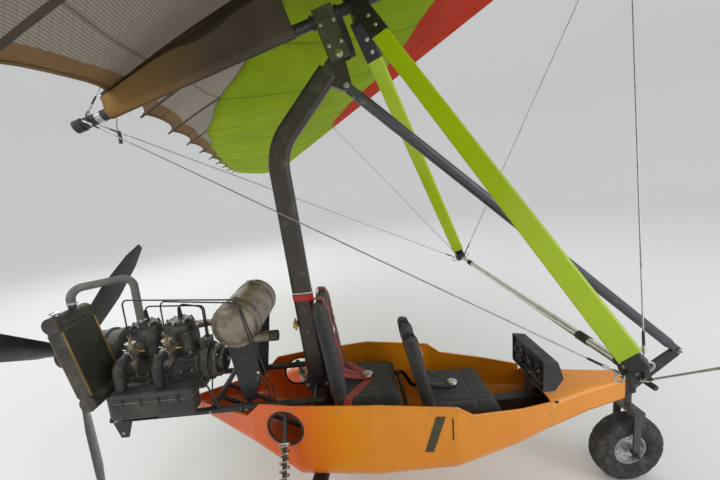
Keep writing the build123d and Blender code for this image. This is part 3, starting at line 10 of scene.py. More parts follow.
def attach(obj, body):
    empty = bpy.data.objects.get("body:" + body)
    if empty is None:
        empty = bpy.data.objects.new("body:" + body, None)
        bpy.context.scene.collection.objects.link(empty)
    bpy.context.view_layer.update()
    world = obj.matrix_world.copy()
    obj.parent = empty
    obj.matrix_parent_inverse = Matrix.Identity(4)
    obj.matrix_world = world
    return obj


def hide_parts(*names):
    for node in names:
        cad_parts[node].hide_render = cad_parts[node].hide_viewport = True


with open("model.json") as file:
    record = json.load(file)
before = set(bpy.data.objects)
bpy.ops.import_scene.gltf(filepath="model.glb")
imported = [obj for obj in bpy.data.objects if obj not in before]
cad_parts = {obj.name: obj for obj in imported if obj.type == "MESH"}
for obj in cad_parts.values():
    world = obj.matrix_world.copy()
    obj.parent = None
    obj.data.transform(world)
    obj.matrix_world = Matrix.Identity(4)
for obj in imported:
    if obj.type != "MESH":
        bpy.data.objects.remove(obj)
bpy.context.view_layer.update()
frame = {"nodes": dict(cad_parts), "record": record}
scene = bpy.context.scene
scene.view_settings.view_transform = "Standard"

SIDES = (-1, 1)
X, Y, Z = Vector((1, 0, 0)), Vector((0, 1, 0)), Vector((0, 0, 1))


def linked(name, data):
    made = bpy.data.objects.new(name, data)
    scene.collection.objects.link(made)
    return made


def settled(made, body, replaced):
    """Hangs a piece on the body it rides on and hides the CAD nodes it stands for."""
    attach(made, body)
    if replaced:
        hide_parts(*replaced)
    return made


# Camera: the photograph's place, to starboard and a little below the hang bolt

IMAGE_SIZE = (720, 480)
FOCAL_PIXELS = 345.0
SENSOR = 36.0
CAMERA_AT = Vector((0.138, -1.715, 1.826))
FORWARD = Vector((0.0209, 0.9853, -0.1694)).normalized()
RIGHT = FORWARD.cross(Vector((0.085, 0.167, 0.9823))).normalized()
UP = RIGHT.cross(FORWARD)


def add_camera():
    data = bpy.data.cameras.new("camera")
    data.sensor_width = SENSOR
    data.lens = FOCAL_PIXELS / IMAGE_SIZE[0] * SENSOR
    data.clip_start = 0.02
    scene.camera = linked("camera", data)
    turn = Matrix((RIGHT, UP, -FORWARD)).transposed().to_4x4()
    scene.camera.matrix_world = Matrix.Translation(CAMERA_AT) @ turn


add_camera()

# Materials

CLOTH = "cloth"


def rgba(value):
    return (*value, 1) if isinstance(value, tuple) else value


def shade_of(colour, share):
    return tuple(channel * share for channel in colour)


class Finish:
    """A material in the making: its node tree and its shader. Coordinates are in metres."""

    def __init__(self, name, colour, roughness=0.5, metallic=0.0, coat=0.0):
        self.material = bpy.data.materials.new(name)
        self.material.use_nodes = True
        self.tree = self.material.node_tree
        self.shader = self.tree.nodes["Principled BSDF"]
        self.put(self.shader, {"Base Color": rgba(colour), "Roughness": roughness, "Metallic": metallic})
        if coat:
            self.put(self.shader, {"Coat Weight": coat, "Coat Roughness": 0.12})

    def put(self, node, values):
        """Links a node's inputs to the sockets among the values and sets the others."""
        for key, value in values.items():
            if isinstance(value, bpy.types.NodeSocket):
                self.tree.links.new(value, node.inputs[key])
            else:
                node.inputs[key].default_value = value

    def node(self, kind, values, out=0, **settings):
        made = self.tree.nodes.new("ShaderNode" + kind)
        for key, value in settings.items():
            setattr(made, key, value)
        self.put(made, values)
        return made.outputs[out]

    def place(self, stretch=None):
        source = self.node("TexCoord", {}, "Object")
        return self.node("Mapping", {"Vector": source, "Scale": stretch}) if stretch else source

    def cloth_axes(self):
        """A sheet's span and chord."""
        return self.axes(self.node("UVMap", {}, uv_map=CLOTH))[:2]

    def axes(self, source):
        return self.node("SeparateXYZ", {0: source}).node.outputs

    def noise(self, source, size, detail=3.0, roughness=0.5):
        return self.node("TexNoise", {"Vector": source, "Scale": 1 / size, "Detail": detail,
                                      "Roughness": roughness})

    def math(self, kind, first, second):
        return self.node("Math", {0: first, 1: second}, operation=kind)

    def ranged(self, value, low, high, to_low=0.0, to_high=1.0):
        return self.node("MapRange", {"Value": value, "From Min": low, "From Max": high, "To Min": to_low,
                                      "To Max": to_high})

    def blended(self, factor, first, second, share=None):
        """A colour between two, which are colours or sockets; a share holds the second one back."""
        if share:
            factor = self.math("MULTIPLY", factor, share)
        return self.node("Mix", {0: factor, 6: rgba(first), 7: rgba(second)}, 2, data_type="RGBA")

    def lines(self, coordinate, pitch, width, shift=0.0):
        """1 on lines of a width that repeat at a pitch along the coordinate, 0 between them."""
        near = self.math("PINGPONG", self.math("ADD", coordinate, shift), pitch / 2)
        return self.math("LESS_THAN", near, width / 2)

    def tint_along_x(self, tone, source, start, full, colour):
        """The tone gone over to another colour between two places along x."""
        return self.blended(self.ranged(self.axes(source)[0], start, full), tone, colour)

    def bump(self, height, distance, strength=1.0):
        bump = self.node("Bump", {"Height": height, "Distance": distance, "Strength": strength}, "Normal")
        self.put(self.shader, {"Normal": bump})

    def done(self, tone, roughness=None):
        self.put(self.shader, {"Base Color": tone})
        if roughness:
            self.put(self.shader, {"Roughness": roughness})
        return self.material


def hard(name, colour, dirty, patch, rough, grain, grain_size, metallic=0.0, coat=0.0, spread=(0.42, 0.72)):
    """Colour that drifts to a dirtier one in patches, uneven roughness and a fine grain."""
    f = Finish(name, colour, sum(rough) / 2, metallic, coat)
    source = f.place()
    factor = f.ranged(f.noise(source, patch, 5.0, 0.62), *spread)
    wear = f.noise(source, patch / 5, 4.0, 0.6)
    f.bump(f.noise(source, grain_size, 2.0), grain)
    return f.done(f.blended(factor, colour, dirty), f.ranged(wear, 0.3, 0.7, *rough))


def rubber(name, colour, dusty, rough=(0.6, 0.85), grain=0.0004):
    return hard(name, colour, dusty, 0.05, rough, grain, 0.0022, spread=(0.46, 0.78))


def brushed(name, colour, dirty, rough=(0.32, 0.5), metallic=0.55, along=(1, 1, 0.05)):
    """Drawn or anodised tube: faint lines along it and a few scuffs."""
    f = Finish(name, colour, sum(rough) / 2, metallic)
    streaks = f.noise(f.place(along), 0.006)
    scuffs = f.ranged(f.noise(f.place(), 0.05, 6.0, 0.7), 0.56, 0.72)
    f.bump(streaks, 0.00015)
    return f.done(f.blended(scuffs, colour, dirty), f.ranged(streaks, 0.3, 0.7, *rough))


def cast(name, colour, dirty, rough=(0.42, 0.7), metallic=0.65):
    """Sand-cast alloy: pitted grain, oil-dark patches and pale rubbed spots."""
    f = Finish(name, colour, sum(rough) / 2, metallic)
    source = f.place()
    stains = f.ranged(f.noise(source, 0.09, 6.0, 0.65), 0.42, 0.66)
    rubbed = f.ranged(f.noise(source, 0.018, 4.0, 0.7), 0.66, 0.76, 0.0, 0.8)
    pale = tuple(min(1.0, channel * 2.2) for channel in colour)
    f.bump(f.noise(source, 0.0016, 3.0, 0.7), 0.0005)
    return f.done(f.blended(rubbed, f.blended(stains, colour, dirty), pale),
                  f.ranged(f.noise(source, 0.03), 0.3, 0.7, *rough))


def weave(name, colour, dirty, thread=0.0011, rough=0.82, sheen=0.25):
    """A plain two-way weave with dusty patches."""
    f = Finish(name, colour, rough)
    source = f.place()
    x, y, z = (f.node("TexWave", {"Vector": source, "Scale": 0.314 / thread, "Distortion": 0.6}, 1,
                      bands_direction=direction) for direction in "XYZ")
    cloth = f.math("ADD", f.math("ADD", x, y), z)
    patches = f.ranged(f.noise(source, 0.08, 5.0, 0.6), 0.4, 0.72)
    f.put(f.shader, {"Sheen Weight": sheen})
    f.bump(cloth, 0.0004)
    return f.done(f.blended(f.ranged(cloth, 0.5, 2.5, 0.75, 0.0), f.blended(patches, colour, dirty),
                            shade_of(colour, 0.55)))


def gelcoat(name, colour, deep, tint_along_x=None):
    """Moulded gelcoat: glossy, with a slow drift, orange peel and fine dust. The last argument shifts the
    tone along x, as in Finish's method of the same name; on the pod that shift is painted light.
    """
    f = Finish(name, colour, 0.22, coat=0.3)
    source = f.place()
    tone = f.blended(f.ranged(f.noise(source, 0.55), 0.38, 0.66), colour, deep)
    if tint_along_x:
        tone = f.tint_along_x(tone, source, *tint_along_x)
    dust = f.ranged(f.noise(source, 0.014, 6.0, 0.75), 0.62, 0.78, 0.0, 0.2)
    f.bump(f.noise(source, 0.009, 2.0), 0.00025)
    return f.done(f.blended(dust, tone, (0.62, 0.5, 0.36)),
                  f.ranged(f.noise(source, 0.05, 5.0, 0.65), 0.3, 0.75, 0.22, 0.45))


def laminate(name, colour, thread, warm, pitch=0.013, seam_pitch=0.62):
    """Film laminate: a grid of scrim threads under the film, stitched panel seams, soft creases."""
    f = Finish(name, colour, 0.42)
    f.put(f.shader, {"Specular IOR Level": 0.18})
    span, chord = f.cloth_axes()
    body = f.place()
    tone = f.blended(f.ranged(f.noise(body, 0.5, 4.0, 0.6), 0.36, 0.68), colour, warm)
    along = f.lines(chord, pitch, pitch * 0.30)
    slant = f.math("ADD", f.math("MULTIPLY", span, 0.8), f.math("MULTIPLY", chord, 0.6))
    seam = f.lines(chord, seam_pitch, 0.018, 0.2)
    stitch = f.math("MULTIPLY", f.lines(chord, seam_pitch, 0.003, 0.2), f.lines(span, 0.009, 0.005))
    tone = f.blended(along, tone, thread, 0.72)
    tone = f.blended(f.lines(slant, pitch * 2.4, pitch * 0.16), tone, thread, 0.5)
    tone = f.blended(seam, tone, shade_of(thread, 0.8), 0.45)
    tone = f.blended(stitch, tone, shade_of(thread, 0.35))
    creases = f.noise(f.place((1, 0.35, 1)), 0.09, 4.0, 0.6)
    fine = f.math("ADD", f.math("MULTIPLY", creases, 3.0), along)
    f.bump(f.math("ADD", fine, seam), 0.0012, 0.8)
    return f.done(tone, f.ranged(f.noise(body, 0.11, 4.0), 0.3, 0.7, 0.5, 0.7))


def sailcloth(name, colour, deep, seam_pitch=0.52, tint_along_x=None):
    """Coated polyester: a fine weave, chordwise seams with a row of stitching along each, soft creases."""
    seam_colour = shade_of(colour, 0.3)
    f = Finish(name, colour, 0.5)
    f.put(f.shader, {"Specular IOR Level": 0.12})
    span, chord = f.cloth_axes()
    body = f.place()
    tone = f.blended(f.ranged(f.noise(body, 0.4, 5.0, 0.62), 0.36, 0.68), colour, deep)
    if tint_along_x:
        tone = f.tint_along_x(tone, body, *tint_along_x)
    seam = f.lines(span, seam_pitch, 0.016)
    threads = f.math("ADD", f.lines(span, 0.0022, 0.0011), f.lines(chord, 0.0022, 0.0011))
    tone = f.blended(seam, tone, seam_colour, 0.35)
    tone = f.blended(f.lines(span, seam_pitch, 0.004, 0.008), tone, seam_colour, 0.85)
    tone = f.blended(threads, tone, shade_of(colour, 0.6), 0.06)
    creases = f.noise(f.place((0.5, 1, 1)), 0.06, 4.0, 0.62)
    height = f.math("ADD", f.math("MULTIPLY", creases, 2.4), seam)
    f.bump(f.math("ADD", height, f.math("MULTIPLY", threads, 0.12)), 0.0011, 0.8)
    return f.done(tone, f.ranged(f.noise(body, 0.09, 4.0), 0.3, 0.7, 0.66, 0.88))


def fin_pack(name):
    """The radiator's thin upright fins, dusty."""
    f = Finish(name, (0.07, 0.062, 0.055), 0.5, 0.5)
    folds = f.lines(f.axes(f.place())[1], 0.0030, 0.0014)
    dust = f.ranged(f.noise(f.place(), 0.04, 4.0), 0.4, 0.7)
    f.bump(folds, 0.0008)
    return f.done(f.blended(folds, (0.02, 0.018, 0.016),
                            f.blended(dust, (0.085, 0.075, 0.066), (0.13, 0.11, 0.09))))


finishes = {
    # the record's slots
    "alloy_black": brushed("anodised_black", (0.045, 0.044, 0.046), (0.12, 0.11, 0.10)),
    "mast_alloy": brushed("mast_anodised", (0.075, 0.062, 0.055), (0.16, 0.14, 0.12)),
    "strut_alloy": brushed("strut_anodised", (0.09, 0.10, 0.11), (0.2, 0.2, 0.2), (0.3, 0.46), 0.6,
                           (0.1, 1, 0.1)),
    "bar_alloy": brushed("bar_polished", (0.74, 0.74, 0.72), (0.5, 0.49, 0.46), (0.22, 0.38), 0.85,
                         (1, 0.05, 1)),
    "bracket_alloy": cast("bracket_olive", (0.11, 0.11, 0.065), (0.05, 0.05, 0.035), (0.4, 0.6), 0.4),
    "lime_sleeve": gelcoat("downtube_lime", (0.47, 0.66, 0.008), (0.38, 0.56, 0.006)),
    # painted light: the pod's gelcoat turns redder towards the rear, standing in for sunlight glowing through
    # the shell
    "pod_orange": gelcoat("pod_gelcoat_painted_glow", (0.88, 0.31, 0.006), (0.82, 0.25, 0.005),
                          (0.02, -0.22, (0.82, 0.125, 0.010))),
    "panel_black": hard("panel_moulding", (0.03, 0.03, 0.031), (0.075, 0.07, 0.065), 0.1, (0.5, 0.7),
                        0.0004, 0.0016),
    "seat_black": weave("seat_cordura", (0.03, 0.03, 0.033), (0.075, 0.07, 0.065)),
    "tank_plastic": hard("tank_translucent", (0.68, 0.66, 0.58), (0.46, 0.42, 0.32), 0.16, (0.35, 0.5),
                         0.0003, 0.003),
    "engine_alloy": cast("engine_cast", (0.17, 0.16, 0.15), (0.05, 0.043, 0.036)),
    "gearbox_alloy": cast("gearbox_cast", (0.2, 0.19, 0.18), (0.07, 0.062, 0.055)),
    "carb_alloy": cast("carburettor_cast", (0.46, 0.42, 0.36), (0.2, 0.16, 0.11), (0.3, 0.5), 0.8),
    "exhaust_steel": hard("exhaust_heated", (0.34, 0.29, 0.24), (0.14, 0.10, 0.075), 0.07, (0.34, 0.6),
                          0.0003, 0.003, 0.8),
    "radiator_black": hard("radiator_paint", (0.045, 0.04, 0.036), (0.12, 0.10, 0.08), 0.06, (0.4, 0.65),
                           0.0004, 0.002, 0.2),
    "hose_rubber": rubber("coolant_rubber", (0.15, 0.14, 0.135), (0.25, 0.23, 0.2)),
    "box_plastic": hard("airbox_moulding", (0.022, 0.022, 0.023), (0.07, 0.06, 0.05), 0.08, (0.42, 0.62),
                        0.0004, 0.0018),
    "cable_black": rubber("cable_sheath", (0.02, 0.02, 0.021), (0.06, 0.055, 0.05), (0.4, 0.6), 0.0002),
    "steel": hard("wire_steel", (0.55, 0.56, 0.58), (0.3, 0.29, 0.28), 0.03, (0.25, 0.4), 0.0003, 0.0012,
                  0.95),
    "fork_steel": hard("fork_enamel", (0.04, 0.04, 0.042), (0.11, 0.095, 0.08), 0.09, (0.3, 0.5), 0.0002,
                       0.004, 0.1, 0.3),
    "tyre": rubber("tyre_rubber", (0.028, 0.028, 0.029), (0.13, 0.115, 0.095), (0.65, 0.9), 0.0006),
    "rim_alloy": cast("rim_cast", (0.58, 0.58, 0.6), (0.3, 0.28, 0.25), (0.3, 0.48), 0.8),
    "prop_black": hard("prop_composite", (0.018, 0.018, 0.019), (0.06, 0.055, 0.05), 0.12, (0.28, 0.5),
                       0.0002, 0.002, 0.0, 0.3),
    "sail_grey": laminate("sail_laminate", (0.35, 0.315, 0.275), (0.15, 0.13, 0.115), (0.40, 0.34, 0.285)),
    "sail_lime": sailcloth("sail_lime_cloth", (0.31, 0.44, 0.008), (0.22, 0.34, 0.005), 0.50),
    "sail_red": sailcloth("sail_red_cloth", (0.56, 0.04, 0.014), (0.42, 0.03, 0.010), 0.9),
    "pocket_brown": sailcloth("pocket_cloth", (0.115, 0.09, 0.068), (0.075, 0.058, 0.045), 0.4,
                              (-0.40, -0.86, (0.30, 0.17, 0.055))),
}

for entry in frame["record"]["subparts"]:
    cad_piece, finish = frame["nodes"][entry["node"]], finishes[entry["material_slot"]]
    if not cad_piece.material_slots:
        cad_piece.data.materials.append(finish)
    for holder in cad_piece.material_slots:
        holder.material = finish

finishes |= {
    # what scene.py's own pieces have beside them
    "tan_band": sailcloth("sail_tan_band", (0.27, 0.165, 0.075), (0.2, 0.12, 0.06), 0.6),
    "white_trim": sailcloth("sail_white_line", (0.72, 0.71, 0.68), (0.6, 0.58, 0.54), 0.9),
    "dark_trim": sailcloth("sail_dark_line", (0.04, 0.04, 0.042), (0.07, 0.065, 0.06), 0.9),
    # partly painted shade: the tape is darker than the sail, standing in for the shade along the batten
    # pockets
    "batten_tape_and_shade": sailcloth("batten_tape_and_shade", (0.13, 0.105, 0.085), (0.09, 0.075, 0.06), 5.0),
    "black_web": weave("black_webbing", (0.02, 0.02, 0.021), (0.05, 0.047, 0.043), 0.0016),
    "red_web": weave("red_webbing", (0.62, 0.035, 0.025), (0.42, 0.03, 0.022), 0.0016, 0.7, 0.3),
    "patch_cloth": weave("patch_cloth", (0.035, 0.034, 0.034), (0.07, 0.066, 0.06), 0.0014),
    "bright_steel": hard("bright_steel", (0.62, 0.62, 0.63), (0.42, 0.4, 0.37), 0.02, (0.18, 0.35), 0.0001,
                         0.001, 1.0),
    "zinc_steel": hard("zinc_steel", (0.5, 0.48, 0.42), (0.34, 0.28, 0.18), 0.015, (0.3, 0.5), 0.0002,
                       0.001, 0.9),
    "sooty_steel": hard("sooty_steel", (0.05, 0.045, 0.04), (0.12, 0.09, 0.07), 0.02, (0.5, 0.75), 0.0003,
                        0.002, 0.5),
    "brass": hard("brass", (0.62, 0.42, 0.15), (0.36, 0.22, 0.08), 0.02, (0.28, 0.45), 0.0002, 0.001, 0.95),
    # painted highlight: a brass colour that stands in for the sun's glint on the radiator's edges
    "sun_glint_paint": hard("radiator_sun_glint", (0.5, 0.34, 0.10), (0.3, 0.2, 0.08), 0.05, (0.3, 0.5),
                        0.0002, 0.002, 0.7),
    "black_plastic": hard("black_plastic", (0.02, 0.02, 0.021), (0.06, 0.055, 0.05), 0.05, (0.4, 0.6),
                          0.0003, 0.0015),
    "white_plastic": hard("white_plastic", (0.78, 0.77, 0.73), (0.6, 0.56, 0.5), 0.04, (0.4, 0.55), 0.0002,
                          0.002),
    "red_plastic": hard("red_plastic", (0.6, 0.03, 0.02), (0.4, 0.03, 0.02), 0.04, (0.35, 0.5), 0.0002,
                        0.002),
    "yellow_paint": hard("yellow_paint", (0.78, 0.5, 0.05), (0.5, 0.3, 0.04), 0.03, (0.35, 0.55), 0.0002,
                         0.002),
    "dial_face": hard("dial_face", (0.012, 0.012, 0.013), (0.025, 0.025, 0.026), 0.02, (0.5, 0.65), 0.0001,
                      0.001),
    "dial_white": hard("dial_white", (0.8, 0.8, 0.77), (0.7, 0.7, 0.66), 0.02, (0.5, 0.6), 0.0001, 0.001),
    # painted highlight: a pale grey that stands in for light catching the airbox's edge
    "box_painted_highlight": hard("airbox_painted_highlight", (0.10, 0.09, 0.08), (0.2, 0.18, 0.15), 0.04, (0.35, 0.55), 0.0002, 0.002),
    "black_rubber": rubber("black_rubber", (0.022, 0.022, 0.022), (0.07, 0.063, 0.055)),
    "stripe_paint": gelcoat("stripe_olive", (0.055, 0.05, 0.022), (0.04, 0.036, 0.018)),
    "fin_pack": fin_pack("radiator_fin_pack"),
    "stage": Finish("stage_pale", (0.80, 0.80, 0.79), 0.9).material,
}

# Shape helpers: all points are in the row frame, in metres

STRAP_OUTLINE = [(-1, -0.4), (-0.94, -1), (0.94, -1), (1, -0.4), (1, 0.4), (0.94, 1), (-0.94, 1), (-1, 0.4)]


def around(count):
    """Equal angles round a circle."""
    return [2 * pi * k / count for k in range(count)]


def circle(middle, a, b, count):
    """Points round the ellipse whose half axes are a and b."""
    return [middle + a * cos(t) + b * sin(t) for t in around(count)]


def squircle(angle, power):
    """A circle's point pulled out towards its square's corner."""
    return [abs(part) ** power * (1 if part > 0 else -1) for part in (cos(angle), sin(angle))]


def frame_on(axis):
    """Two directions square to an axis and to each other."""
    axis = axis.normalized()
    side = (Z if abs(axis.z) < 0.9 else X).cross(axis).normalized()
    return side, axis.cross(side)


def eased(points, steps=6):
    """A smooth line through the points."""
    points = [Vector(p) for p in points]
    ends = [points[0] * 2 - points[1]] + points + [points[-1] * 2 - points[-2]]
    line = []
    for a, b, c, d in zip(ends, ends[1:], ends[2:], ends[3:]):
        for t in [step / steps for step in range(steps)]:
            line.append(0.5 * (2 * b + (c - a) * t + (2 * a - 5 * b + 4 * c - d) * t * t
                               + (3 * b - a - 3 * c + d) * t ** 3))
    return line + [points[-1]]


def in_table(table, at):
    """The other columns' values at a place along the first column."""
    for low, high in zip(table, table[1:]):
        if at <= high[0]:
            share = max(0.0, at - low[0]) / (high[0] - low[0])
            return [a + (b - a) * share for a, b in zip(low[1:], high[1:])]
    return table[-1][1:]


def tree_of(mesh):
    return BVHTree.FromPolygons([v.co for v in mesh.vertices], [tuple(p.vertices) for p in mesh.polygons])


def smooth_object(name, verts, faces, marks, slots):
    mesh = bpy.data.meshes.new(name)
    mesh.from_pydata(verts, [], faces)
    for key in slots:
        mesh.materials.append(finishes[key])
    mesh.polygons.foreach_set("material_index", marks)
    mesh.polygons.foreach_set("use_smooth", [True] * len(faces))
    mesh.update()
    return linked(name, mesh)


class Shapes:
    """Points and faces gathered into one piece, with a material mark on each face."""

    def __init__(self):
        self.verts, self.faces, self.marks = [], [], []

    def add(self, verts, faces, mark=0):
        base = len(self.verts)
        self.verts += [Vector(v) for v in verts]
        self.faces += [tuple(base + index for index in face) for face in faces]
        self.marks += [mark] * len(faces)

    def rings(self, rings, mark=0, caps=True, loop=False):
        """Equal closed rings of points, skinned one to the next."""
        count, total = len(rings[0]), len(rings)
        faces = []
        for r in range(total if loop else total - 1):
            low, high = r * count, (r + 1) % total * count
            for k in range(count):
                after = (k + 1) % count
                faces.append((low + k, low + after, high + after, high + k))
        if caps and not loop:
            faces += [tuple(reversed(range(count))), tuple(range((total - 1) * count, total * count))]
        self.add([p for ring in rings for p in ring], faces, mark)

    def turned(self, spot, axis, profile, sides=24, mark=0, caps=True):
        """A profile of (distance along the axis, radius) turned about the axis through the spot."""
        spot, axis = Vector(spot), Vector(axis).normalized()
        a, b = frame_on(axis)
        self.rings([circle(spot + axis * along, a * r, b * r, sides) for along, r in profile], mark, caps)

    def collar(self, spot, axis, inner, outer, length, edge, sides=24):
        """A turned band with slanted edges."""
        self.turned(spot, axis, [(0, inner), (edge, outer), (length - edge, outer), (length, inner)], sides)

    def pipe(self, points, radius, sides=10, loop=False):
        points = [Vector(p) for p in points]
        count = len(points)
        rings = []
        side = None
        for index, point in enumerate(points):
            ahead, behind = (index + 1) % count, index - 1
            if not loop:
                ahead, behind = min(index + 1, count - 1), max(behind, 0)
            along = (points[ahead] - points[behind]).normalized()
            if side is None:
                side, _ = frame_on(along)
            side = (side - along * side.dot(along)).normalized()
            rings.append(circle(point, side * radius, along.cross(side) * radius, sides))
        self.rings(rings, 0, not loop, loop)

    def strap(self, points, width, thick, across):
        """Flat webbing along a line of points; across gives its width's direction."""
        points, across = [Vector(p) for p in points], Vector(across)
        rings = []
        for index, point in enumerate(points):
            along = (points[min(index + 1, len(points) - 1)] - points[max(index - 1, 0)]).normalized()
            side = (across - along * across.dot(along)).normalized()
            up = along.cross(side)
            rings.append([point + side * (a * width / 2) + up * (b * thick / 2) for a, b in STRAP_OUTLINE])
        self.rings(rings)

    def block(self, spot, size, turn=None, edge=0.002):
        """A box with rounded edges, turned by a matrix."""
        solid = bmesh.new()
        bmesh.ops.create_cube(solid, size=1.0)
        bmesh.ops.scale(solid, vec=Vector(size), verts=solid.verts)
        bmesh.ops.bevel(solid, geom=solid.edges[:], offset=edge, segments=2, profile=0.5, affect="EDGES")
        solid.verts.index_update()
        turn = turn or Matrix.Identity(3)
        self.add([turn @ v.co + Vector(spot) for v in solid.verts],
                 [[v.index for v in face.verts] for face in solid.faces])
        solid.free()

    def bolts(self, spots, axis, across_flats=0.013, height=0.006, thread=0.0, washer=True):
        """Hexagon heads or nuts on their washers, with what shows of the thread."""
        r = across_flats / sqrt(3)
        base = 0.0015 if washer else 0.0
        for spot in spots:
            if washer:
                self.turned(spot, axis, [(0, r * 1.25), (0.0012, r * 1.25), (base, r * 1.15)], 16)
            self.turned(spot, axis, [(base, r), (base + height * 0.85, r), (base + height, r * 0.86)], 6)
            if thread:
                self.turned(spot, axis, [(base + height, r * 0.5), (base + height + thread, r * 0.46)], 10)

    def clamp(self, spot, axis, radius, width=0.010):
        """A worm-drive hose clamp: the band and its screw housing."""
        spot, axis = Vector(spot), Vector(axis).normalized()
        a, b = frame_on(axis)
        self.collar(spot - axis * width / 2, axis, radius, radius + 0.0012, width, 0.0006, 28)
        self.block(spot + b * (radius + 0.004), (width * 0.8, 0.018, 0.006),
                   Matrix((axis, a, b)).transposed(), 0.001)
        self.turned(spot + b * (radius + 0.005) + a * 0.009, a,
                    [(0, 0.0035), (0.004, 0.0035), (0.005, 0.0025)], 8)

    def piece(self, name, body, *slots, replaced=(), slot=None, angle=38):
        made = smooth_object(name, self.verts, self.faces, self.marks, slots)
        made.data.set_sharp_from_angle(angle=radians(angle))
        made.data.update()
        return settled(made, body, replaced)


# Stage: a pale floor that curves up far behind, and soft light

FLOOR_RADIUS = 16.0
FLOOR_SIDES = 48
WALL_BEND = 6.0
WALL_HEIGHT = 16.0
LAMPS = [
    # name, place, size, power
    ("key", (-3.5, -6.5, 7.0), 5.0, 300.0),
    ("fill", (6.0, -4.0, 4.0), 4.0, 130.0),
    ("back", (-4.0, 6.5, 6.0), 5.0, 190.0),
]
LAMP_AIM = Z * 1.4
SKY_COLOUR = (0.95, 0.97, 1.0, 1)
SKY_STRENGTH = 0.84


def add_floor():
    bend = [step * pi / 16 for step in range(9)]
    profile = [(FLOOR_RADIUS + WALL_BEND * sin(t), WALL_BEND * (1 - cos(t))) for t in bend]
    profile.append((FLOOR_RADIUS + WALL_BEND, WALL_HEIGHT))
    verts = [Vector()] + [point for r, z in profile for point in circle(Z * z, X * r, Y * r, FLOOR_SIDES)]
    pairs = [(k, (k + 1) % FLOOR_SIDES) for k in range(FLOOR_SIDES)]
    faces = [(0, 1 + k, 1 + after) for k, after in pairs]
    for low in range(1, len(verts) - FLOOR_SIDES, FLOOR_SIDES):
        high = low + FLOOR_SIDES
        faces += [(low + k, high + k, high + after, low + after) for k, after in pairs]
    smooth_object("floor", verts, faces, [0] * len(faces), ["stage"])


def add_light():
    scene.world = bpy.data.worlds.new("world")
    scene.world.use_nodes = True
    sky = scene.world.node_tree.nodes["Background"]
    sky.inputs["Color"].default_value = SKY_COLOUR
    sky.inputs["Strength"].default_value = SKY_STRENGTH
    for name, spot, size, power in LAMPS:
        data = bpy.data.lights.new(name, "AREA")
        data.size = size
        data.energy = power
        lamp = linked(name, data)
        lamp.location = spot
        lamp.rotation_euler = (LAMP_AIM - lamp.location).to_track_quat("-Z", "Y").to_euler()


add_floor()
add_light()

# Wing frame: U runs forward along the keel, V to port, W away from it, all from the hang bolt

HANG = Vector((0.148, 0.0, 2.400))
WING_PITCH = radians(18.0)
AHEAD = Vector((cos(WING_PITCH), 0, sin(WING_PITCH)))
AWAY = Vector((-sin(WING_PITCH), 0, cos(WING_PITCH)))
KEEL_W, KEEL_R, KEEL_TAIL_U = 0.170, 0.025, -1.250
NOSE_U = 1.450
SWEEP = radians(29.0)
ROLL_R = 0.040
HALF_SPAN = 4.850
CREST_SHARE = 0.38
LIP_SHARE, LIP_SLOPE = 0.13, 0.092
LOWER_START_V, LOWER_END_V = 0.120, 4.780
LOWER_REACH = [
    # v, share of the chord where the lower skin meets the upper
    (0.0, 0.60), (0.30, 0.61), (0.66, 0.70), (1.06, 0.82), (1.50, 0.905), (2.20, 0.955), (3.00, 0.975),
    (5.0, 0.975),
]
RED_END_V = 2.35
NOSE_PANEL = [(0.12, 0.62), (2.40, 0.176)]  # v, u of the seam behind the red panel
EDGE_START_V = 0.070
KINGPOST_U, KINGPOST_TOP_W = 0.120, 1.120
BAR_U, BAR_HALF, BAR_W = 0.380, 0.800, -1.380
APEX_U, APEX_V, APEX_W = 0.150, 0.066, 0.132
SAIL_STATIONS = [
    # v, trailing edge u, trailing edge w, camber share of the chord
    (0.0, -1.050, 0.262, 0.085),
    (1.2, -1.290, 0.300, 0.085),
    (2.6, -1.590, 0.335, 0.080),
    (4.0, -1.890, 0.370, 0.060),
    (HALF_SPAN, -2.010, 0.380, 0.040),
]
BATTENS = [0.0, 0.46, 0.98, 1.50, 2.02, 2.54, 3.06, 3.56, 4.04, 4.46, HALF_SPAN]
BATTEN_TIE = [(0.026, 0.0052), (0.010, 0.0062), (-0.016, 0.0045), (-0.030, 0.0028)]  # aft of the edge, out
TAN_BAND = 0.105
CLOTH_THICK = 0.0012
POCKET_U = (-0.150, -1.085)
POCKET_STEPS = 16


def wing(u, v, w):
    return HANG + AHEAD * u + Y * v + AWAY * w


def front_u(v):
    """The rear of the leading edge's roll, where the sail's chord starts."""
    return NOSE_U - abs(v) * tan(SWEEP) - ROLL_R


def chord_of(v):
    return front_u(v) - in_table(SAIL_STATIONS, abs(v))[0]


def slack_at(v):
    """0 on a batten, 1 midway between two."""
    for low, high in zip(BATTENS, BATTENS[1:]):
        if abs(v) <= high:
            return sin(pi * (abs(v) - low) / (high - low))
    return 0.0


def upper_at(v, s, lift=0.0):
    """The sail's top at a span and a share of the chord, with its slack between battens."""
    _, tail_w, camber = in_table(SAIL_STATIONS, abs(v))
    front_w = KEEL_W + ROLL_R
    chord = chord_of(v)
    slack = slack_at(v)
    cut = 0.055 / chord * slack * max(0.0, (s - 0.8) / 0.2) ** 2
    away = (s - CREST_SHARE) / (CREST_SHARE if s < CREST_SHARE else 1 - CREST_SHARE)
    hump = camber * chord * (1 - away * away)
    sag = 0.013 * slack * slack * min(1.0, s / 0.3) * (0.5 + s)
    return front_u(v) - chord * (s - cut), v, front_w + (tail_w - front_w) * s + hump - sag + lift


def upper_over(u, v, lift=0.0):
    return upper_at(v, (front_u(v) - u) / chord_of(v), lift)


def lip_at(v, share=1.0):
    """The leading edge's flat lower stretch, from the tube's underside back to the lower sail."""
    back = LIP_SHARE * chord_of(v) * share
    return front_u(v) - back, v, KEEL_W - ROLL_R + LIP_SLOPE * back


